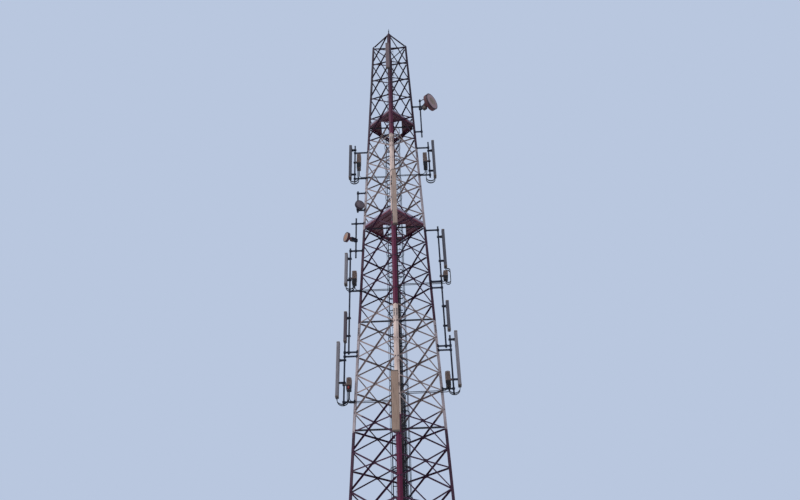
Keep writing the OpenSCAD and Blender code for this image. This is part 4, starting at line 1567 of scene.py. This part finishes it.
RADIOS = (
    RadioUnit("right_upper_radio", RIGHT_UPPER_PIPE, (0, 1), 970, 0, -1),
    RadioUnit("right_middle_radio", RIGHT_MIDDLE_PIPE, (0, 1), 420, -1190, 1),
    RadioUnit("right_lower_radio", RIGHT_LOWER_PIPE, (1, 2), 650, -490, -1),
    RadioUnit("left_upper_radio", LEFT_UPPER_PIPE, (0, 1), 930, 230, -1),
    RadioUnit("left_middle_radio", LEFT_MIDDLE_PIPE, (0, 1), 660, -430, -1),
    RadioUnit("left_lower_radio", LEFT_LOWER_PIPE, (1, 2), 530, -270, -1, lamp=True),
)


class DishMark(IntEnum):
    """Numbers of the finishes of a dish's fittings."""

    FABRIC = 0
    SHELL = 1
    STEEL = 2
    HEAD = 3
    CENTRE = 4
    HOOP = 5


@dataclass(frozen=True)
class Dish:
    """A drum dish: its name, its pipe, its height, its aim, and its sizes from the pipe's middle."""

    name: str
    pipe: Pipe
    z: float
    aim: float
    diameter: float
    depth: float
    back: float
    fabric: CoatedFabric
    centre: CoatedFabric
    shell: PowderCoat
    stay_h: float = 0.0
    sides: int = 64
    latches: int = 12
    latch: Triple = (9.0, 26.0, 44.0)
    # Shares of the radius at the rings of the fabric, which is paler or darker inside the fifth
    fabric_rings: tuple[float, ...] = (0.97, 0.9, 0.75, 0.6, 0.5, 0.3, 0.05)
    # Shares of the depth at the ribs round the drum
    ribs: tuple[float, ...] = (0.42, 0.72)

    @property
    def place(self) -> Matrix:
        """Frame on its pipe with Z along the dish's axis and Y up."""
        return self.pipe.at(self.z) @ turned(self.aim) @ turned(90.0, "Y") @ turned(90.0)

    @property
    def finish(self) -> Zoned:
        """Powder-coated shell over the whole dish, and galvanised steel on its clamp.

        Returns:
            The finish of the dish's solid.
        """
        axis = self.pipe.corner.place @ turned(self.aim) @ Vector((1.0, 0.0, 0.0))
        centre = (self.pipe.corner.place @ Vector((self.pipe.out, 0.0, 0.0))).dot(axis)
        return Zoned(SHADED_ZINC, self.shell, tuple(axis), centre + self.back * 2 / 3 + 6)

    def drum(self, shape: Shape) -> None:
        """Adds the fabric over the mouth, the clamp hoop and its latches, and the drum's ribs.

        Args:
            shape: The piece that gets them.
        """
        r, end = self.diameter / 2, self.back + self.depth
        crown = self.diameter / 30
        lip = end + crown * 0.17
        skin = [(r - 2.0, end - 1.0)] + [
            (r * share - 3.0, end + 1.5 + crown * (1 - share * share)) for share in self.fabric_rings]
        hoop = [(r * 0.91, lip + 1.0), (r * 0.915, lip + 4.5), (r - 4.0, end + 6.0), (r + 1.0, end + 6.0),
                (r + 5.0, end + 3.0), (r + 5.0, end - 32.0), (r + 2.0, end - 36.0), (r - 4.0, end - 36.0)]
        for profile, mark in ((skin[:6], DishMark.FABRIC), (skin[5:], DishMark.CENTRE), (hoop, DishMark.HOOP)):
            shape.lathe(self.place, profile, self.sides, mark, caps=False)
        for k in range(self.latches):
            around = turned(360.0 / self.latches * (k + 0.5))
            shape.block(self.place @ around @ moved(r + 7.0, 0.0, end - 22.0), self.latch, 2.0, DishMark.STEEL)
        for share in self.ribs:
            ring = self.back + self.depth * share
            rib = [(r - 3.0, ring - 9.0), (r + 3.0, ring - 6.0), (r + 3.0, ring + 6.0), (r - 3.0, ring + 9.0)]
            shape.lathe(self.place, rib, self.sides, DishMark.SHELL, caps=False)

    def mount(self, shape: Shape) -> None:
        """Adds the hub and the finned radio head behind the dish, its stays and its clamp.

        Args:
            shape: The piece that gets them.
        """
        r, hub = self.diameter / 2, self.back
        disc = [(r * 0.42, hub - 8.0), (r * 0.42, hub + 4.0), (r * 0.38, hub + 12.0)]
        shape.lathe(self.place, disc, 32, DishMark.STEEL)
        head = self.place @ moved(0.0, -r * 0.30, hub * 0.62)
        shape.block(head, (r * 0.36, r * 0.44, hub * 0.42), 6.0, DishMark.HEAD, 14.0)
        for k in range(6):
            fin = head @ moved((k - 2.5) * r * 0.055, -r * 0.235, 0.0)
            shape.block(fin, (3.0, 16.0, hub * 0.36), 0.8, DishMark.HEAD)
        for side in SIDES:
            stay = [(side * 46.0, 0.0, 30.0), (side * r * 0.32, 0.0, hub * 0.75), (side * r * 0.5, 0.0, hub + 14.0)]
            shape.sweep(stay, 9.0, 10, DishMark.STEEL, self.place)
            for up in (-60.0, 60.0):
                shape.bolt(self.place @ moved(side * 42.0, up, 30.0) @ turned(180.0, "X"), 14.0, 90.0)
        shape.block(self.place @ moved(z=-54.0), (112.0, 180.0, 26.0), 3.0, DishMark.STEEL)

    def top_stay(self, shape: Shape) -> None:
        """Adds the stay from a clamp higher up on the pipe to the top of the drum.

        Args:
            shape: The piece that gets them.
        """
        r, hub = self.diameter / 2, self.back
        path = [(0.0, self.stay_h, 0.0), (0.0, self.stay_h - 40.0, hub * 0.5), (0.0, r * 0.62, hub + 40.0)]
        shape.sweep(path, 24.0, 12, DishMark.STEEL, self.place)
        shape.block(self.place @ moved(0.0, self.stay_h), (104.0, 70.0, 104.0), 4.0, DishMark.STEEL)

    def build(self) -> None:
        """Makes the dish's piece."""
        shape = Shape()
        self.drum(shape)
        self.mount(shape)
        if self.stay_h:
            self.top_stay(shape)
        finishes = [self.fabric, self.shell, SHADED_ZINC, RADIO_HEAD, self.centre, CLAMP_HOOP]
        shape.piece(f"{self.name}_fittings", finishes, "dish_drum")


DISHES = (
    Dish("right_dish", RIGHT_DISH_PIPE, RIGHT_DISH_PIPE.arm_z(0) - 150, -38, 960, 330, 500,
         CoatedFabric("#988187", "#877277"), CoatedFabric("#85766f", "#776a63"), MAROON_SHELL, 590.0),
    Dish("left_upper_dish", LEFT_UPPER_DISH_PIPE, LEFT_UPPER_DISH_PIPE.arm_z(1) + 150, 115, 480, 180, 150,
         CoatedFabric("#6c6268", "#5c5560"), CoatedFabric("#74696e", "#625a64"), MAUVE_SHELL),
    Dish("left_lower_dish", LEFT_LOWER_DISH_PIPE, LEFT_LOWER_DISH_PIPE.mid_z(0, 1) - 190, 35, 480, 180, 390,
         CoatedFabric("#9c8379", "#8b7267"), CoatedFabric("#a57a68", "#8d6856"), MAROON_SHELL),
)


@dataclass(frozen=True)
class CableWay:
    """Clamp bars that hold the feeder cables on the cable ladder, and boots on the jumper cables' ends."""

    back: float = 81.0
    tray_d: float = 40.0
    feeder_d: float = 32.0
    pitch: float = 36.0
    off: float = 65.0
    foot: float = 300.0
    step: float = 600.0
    turn: float = 160.0
    under_arm: float = 110.0
    under_turn: float = 94.0
    socket_h: float = 30.0
    bar_t: float = 6.0
    bar_h: float = 34.0
    bar_over: float = 8.0
    pad: Profile = ((17.6, -13.0), (18.6, -11.0), (18.6, 11.0), (17.6, 13.0))
    boot: Profile = ((12.2, -92.0), (13.2, -88.0), (13.9, -46.0), (13.9, -31.0))

    def tops(self) -> list[float]:
        """Gives the height at which each feeder leaves the cable ladder, from left to right.

        Returns:
            Heights in millimetres, two for each radio unit.
        """
        tops = []
        for k, radio in enumerate(RADIOS[:2:-1] + RADIOS[:3]):
            plug = radio.z - radio.height / 2 - self.socket_h - TOWER.seat
            run = min(radio.pipe.arm_z(radio.arms[1]) - self.under_arm, plug - self.turn - self.under_turn)
            pair = [run - self.turn, run - self.turn + 2 * self.feeder_d]
            tops += pair if k < 3 else pair[::-1]
        return tops

    def clamps(self) -> Shape:
        """Makes one clamp bar for each second rung that still has cables on it.

        Returns:
            The bars, their pads and their bolts.
        """
        shape, tops = Shape(), self.tops()
        out, middle = self.back + self.tray_d + self.feeder_d, (len(tops) - 1) / 2
        for z in map(float, np.arange(self.foot + self.step / 2 + 15.0, max(tops) - 60.0, self.step)):
            held = [(i - middle) * self.pitch + self.off for i, top in enumerate(tops) if z < top - 40.0]
            low = min(held) - self.pitch / 2 - self.bar_over
            high = max(held) + self.pitch / 2 + self.bar_over
            shape.block(Corner.FRONT.at(out + 4.0, (low + high) / 2, z), (self.bar_t, high - low, self.bar_h), 1.2)
            for y in held:
                shape.lathe(Corner.FRONT.at(out - self.feeder_d / 2 + 0.3, y, z), self.pad, 14, mark=1)
            for y in np.arange(low + self.bar_over, high, self.pitch * 2):
                end = Corner.FRONT.at(out + 7.0, float(y), z) @ turned(90.0, "Y")
                shape.bolt(end, 10.0, self.feeder_d + 22.0)
        return shape

    def boots(self) -> Shape:
        """Makes the tapered boots on the jumper cables where they enter a panel or a radio unit.

        Returns:
            The boots of all the jumpers.
        """
        shape = Shape()
        wired = [panel for panel in PANELS if panel.pipe.corner is not Corner.FRONT and "short" not in panel.name]
        for body in (*wired, *RADIOS):
            # A radio unit is close below this panel, so the boots are short
            boot = self.boot[-2:] if body.name == "right_middle_panel" else self.boot
            for socket in body.sockets:
                shape.lathe(socket, boot, 12)
        return shape

    def build(self) -> None:
        """Makes the pieces."""
        self.clamps().piece("feeder_clamps", [SHADED_ZINC, BLACK_CASTING], "galvanised_steel")
        self.boots().piece("jumper_boots", [JACKET], "cable_jacket")


@dataclass(frozen=True)
class SpikeFitting:
    """Collars, clamp and pointed tip of the lightning spike."""

    diameter: float = 18.0
    height: float = 420.0
    base_r: float = 30.0
    base_h: float = 260.0
    tip_h: float = 46.0
    clamp: Triple = (34.0, 34.0, 22.0)
    clamp_z: float = -36.0

    def build(self) -> None:
        """Makes the piece."""
        shape = Shape()
        inset = -TOWER.leg_t - TOWER.seat - self.diameter / 2
        spike = TOWER.along_leg(Corner.FRONT, TOWER.height) @ moved(inset, inset)
        r = self.base_r
        foot = 2 * r * math.sin(math.radians(TOWER.leg_lean))
        lower = [(r + 1.0, 1.0), (r + 9.0, 1.5), (r + 9.0, 11.0), (r + 1.0, 13.0)]
        upper = [(r + 1.5, -34.0), (r + 1.5, -1.0), (r - 2.0, 3.0), (14.0, 16.0), (9.6, 30.0)]
        tip = [(9.2, 0.0), (9.6, 1.0), (9.6, 30.0), (3.0, self.tip_h)]
        shape.lathe(spike @ moved(z=foot), lower, 24)
        shape.lathe(spike @ moved(z=foot + self.base_h), upper, 24)
        shape.lathe(spike @ moved(z=self.height - self.tip_h), tip)
        shape.block(spike @ moved(z=self.clamp_z), self.clamp, 2.0, radius=5.0)
        shape.bolt(spike @ moved(-2.0, -17.0, self.clamp_z) @ turned(90.0, "X"), 8.0, 26.0)
        shape.piece("spike_fittings", [SHADED_ZINC], "galvanised_steel")


# ---- The solids' finishes, and the studio ----


def dress_solids(nodes: dict[str, bpy.types.Object]) -> None:
    """Gives every solid of the frame its finish.

    Args:
        nodes: The frame's solids by name.
    """
    finishes: dict[str, Finish] = {part.name: part.finish for part in (*PANELS, *DISHES)}
    # The braces and the top frame get the darker copy of the paint, which is painted shade
    finishes |= {f"{name}_bracing": SHADED_BRACE_PAINT for name in FACES}
    # The left, right and rear legs get the darker copy of the paint, which is painted shade
    finishes |= {f"{name}_leg": SHADED_SIDE_PAINT for name in ("left", "right", "rear")}
    finishes |= {"top_frame": SHADED_BRACE_PAINT, "ladder_beams": BEAM_PAINT}
    # The ladder, the cage and the cable ladder get the darkest steel, which is painted shade
    finishes |= {name: SHADED_LADDER_ZINC for name in ("climbing_ladder", "ladder_cage", "cable_ladder")}
    for platform in PLATFORMS:
        finishes[f"{platform.name}_platform_frame"] = DECK_PAINT
        # The deck's outer rims get the pale lilac-grey, which is painted highlight and painted sky reflection
        finishes[f"{platform.name}_platform_deck"] = Rimmed(CHEQUER_PAINT, SKY_LIT_RIM_PAINT, platform.half)
    slots = {"painted_steel": PAINT, "galvanised_steel": SHADED_ZINC, "radio_housing": PowderCoat(),
             "cable_jacket": JACKET}
    for name, solid in nodes.items():
        finish = finishes.get(name)
        for slot in solid.material_slots:
            slot.material = material_of(finish or slots[slot.material.name.split(".")[0]])
        LOG.info("%s: %s", name, type(finish).__name__ if finish else "its slot's finish")


@dataclass(frozen=True)
class Sun:
    """A soft sun: its name, its strength, the angle that it spreads over, its tilt from overhead and its turn."""

    name: str
    energy: float
    spread: float
    tilt: float
    turn: float

    def build(self) -> None:
        """Makes the lamp."""
        data = bpy.data.lights.new(self.name, "SUN")
        data.energy, data.angle = self.energy, math.radians(self.spread)
        made = bpy.data.objects.new(self.name, data)
        made.matrix_world = turned(self.turn) @ turned(self.tilt, "X")
        bpy.context.scene.collection.objects.link(made)


@dataclass(frozen=True)
class Studio:
    """Camera at the photograph's place, pale floor, plain sky and soft suns.

    The camera's distance and eye height are in millimetres and its angles in degrees. The floor's reach is in
    metres.
    """

    azimuth: float = 46.55
    distance: float = 27580.0
    eye: float = 1724.0
    heading: float = 46.05
    pitch: float = 34.66
    roll: float = -1.833
    lens: float = 31.5
    sensor: float = 36.0
    sky: str = "#b9c7df"
    air: str = "#e6ebf5"
    air_strength: float = 0.75
    ground: str = "#c9ccd2"
    reach: float = 400.0
    # One high on the left, and a weaker one from behind the camera
    suns: tuple[Sun, ...] = (Sun("key", 1.3, 30.0, 55.0, -22.0), Sun("fill", 0.3, 60.0, 65.0, 75.0))

    def camera(self) -> None:
        """Makes the camera that looks up at the tower."""
        data = bpy.data.cameras.new("camera")
        data.lens, data.sensor_width, data.clip_end = self.lens, self.sensor, self.reach * 5
        made = bpy.data.objects.new("camera", data)
        bpy.context.scene.collection.objects.link(made)
        bpy.context.scene.camera = made
        heading, pitch, roll = (math.radians(a) for a in (self.heading, self.pitch, self.roll))
        back = Vector((math.sin(heading) * math.cos(pitch), -math.cos(heading) * math.cos(pitch), -math.sin(pitch)))
        across = (-back).cross(Vector((0.0, 0.0, 1.0))).normalized()
        up = back.cross(across)
        right = across * math.cos(roll) + up * math.sin(roll)
        top = up * math.cos(roll) - across * math.sin(roll)
        turn = Matrix((right, top, back)).transposed().to_4x4()
        angle = math.radians(self.azimuth)
        spot = Vector((self.distance * math.sin(angle), -self.distance * math.cos(angle), self.eye)) * MM
        made.matrix_world = Matrix.Translation(spot) @ turn

    def background(self) -> None:
        """Makes the world: plain light on the tower, and the sky's colour for the camera and for gloss."""
        world = bpy.data.worlds.new("sky")
        bpy.context.scene.world = world
        world.use_nodes = True
        tree = world.node_tree
        tree.nodes.clear()
        path = node(tree, "LightPath")
        seen = path.outputs["Is Camera Ray"]
        for name in ("Is Glossy Ray", "Is Transmission Ray"):
            seen = node(tree, "Math", {0: seen, 1: path.outputs[name]}, operation="MAXIMUM").outputs[0]
        light = node(tree, "Background", {"Color": linear(self.air), "Strength": self.air_strength})
        sky = node(tree, "Background", {"Color": linear(self.sky), "Strength": 1.0})
        mixed = node(tree, "MixShader", {0: seen, 1: light.outputs[0], 2: sky.outputs[0]})
        node(tree, "OutputWorld", {0: mixed.outputs[0]})

    def floor(self) -> None:
        """Makes the pale floor."""
        mesh = bpy.data.meshes.new("floor")
        corners = [(x * self.reach, y * self.reach, 0.0) for x, y in ((-1, -1), (1, -1), (1, 1), (-1, 1))]
        mesh.from_pydata(corners, [], [(0, 1, 2, 3)])
        made = bpy.data.objects.new("floor", mesh)
        bpy.context.scene.collection.objects.link(made)
        finish = bpy.data.materials.new("pale_floor")
        finish.use_nodes = True
        shader = finish.node_tree.nodes["Principled BSDF"]
        shader.inputs["Roughness"].default_value = 0.9
        shader.inputs["Base Color"].default_value = linear(self.ground)
        mesh.materials.append(finish)

    def build(self) -> None:
        """Makes the whole studio."""
        self.camera()
        self.background()
        for sun in self.suns:
            sun.build()
        self.floor()
        bpy.context.scene.view_settings.view_transform = "Standard"


def main() -> None:
    """Loads the frame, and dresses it."""
    logging.basicConfig(level=logging.INFO, format="%(name)s: %(message)s")
    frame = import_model()
    Studio().build()
    dress_solids(frame["nodes"])
    LatticeBolts().build()
    Footings().build()
    ClimbingWay().build()
    for name in PIPES:
        PipeHardware(name).build()
    for part in (*PLATFORMS, *PANELS, *RADIOS, *DISHES):
        part.build()
    CableWay().build()
    SpikeFitting().build()


if __name__ == "__main__":
    main()
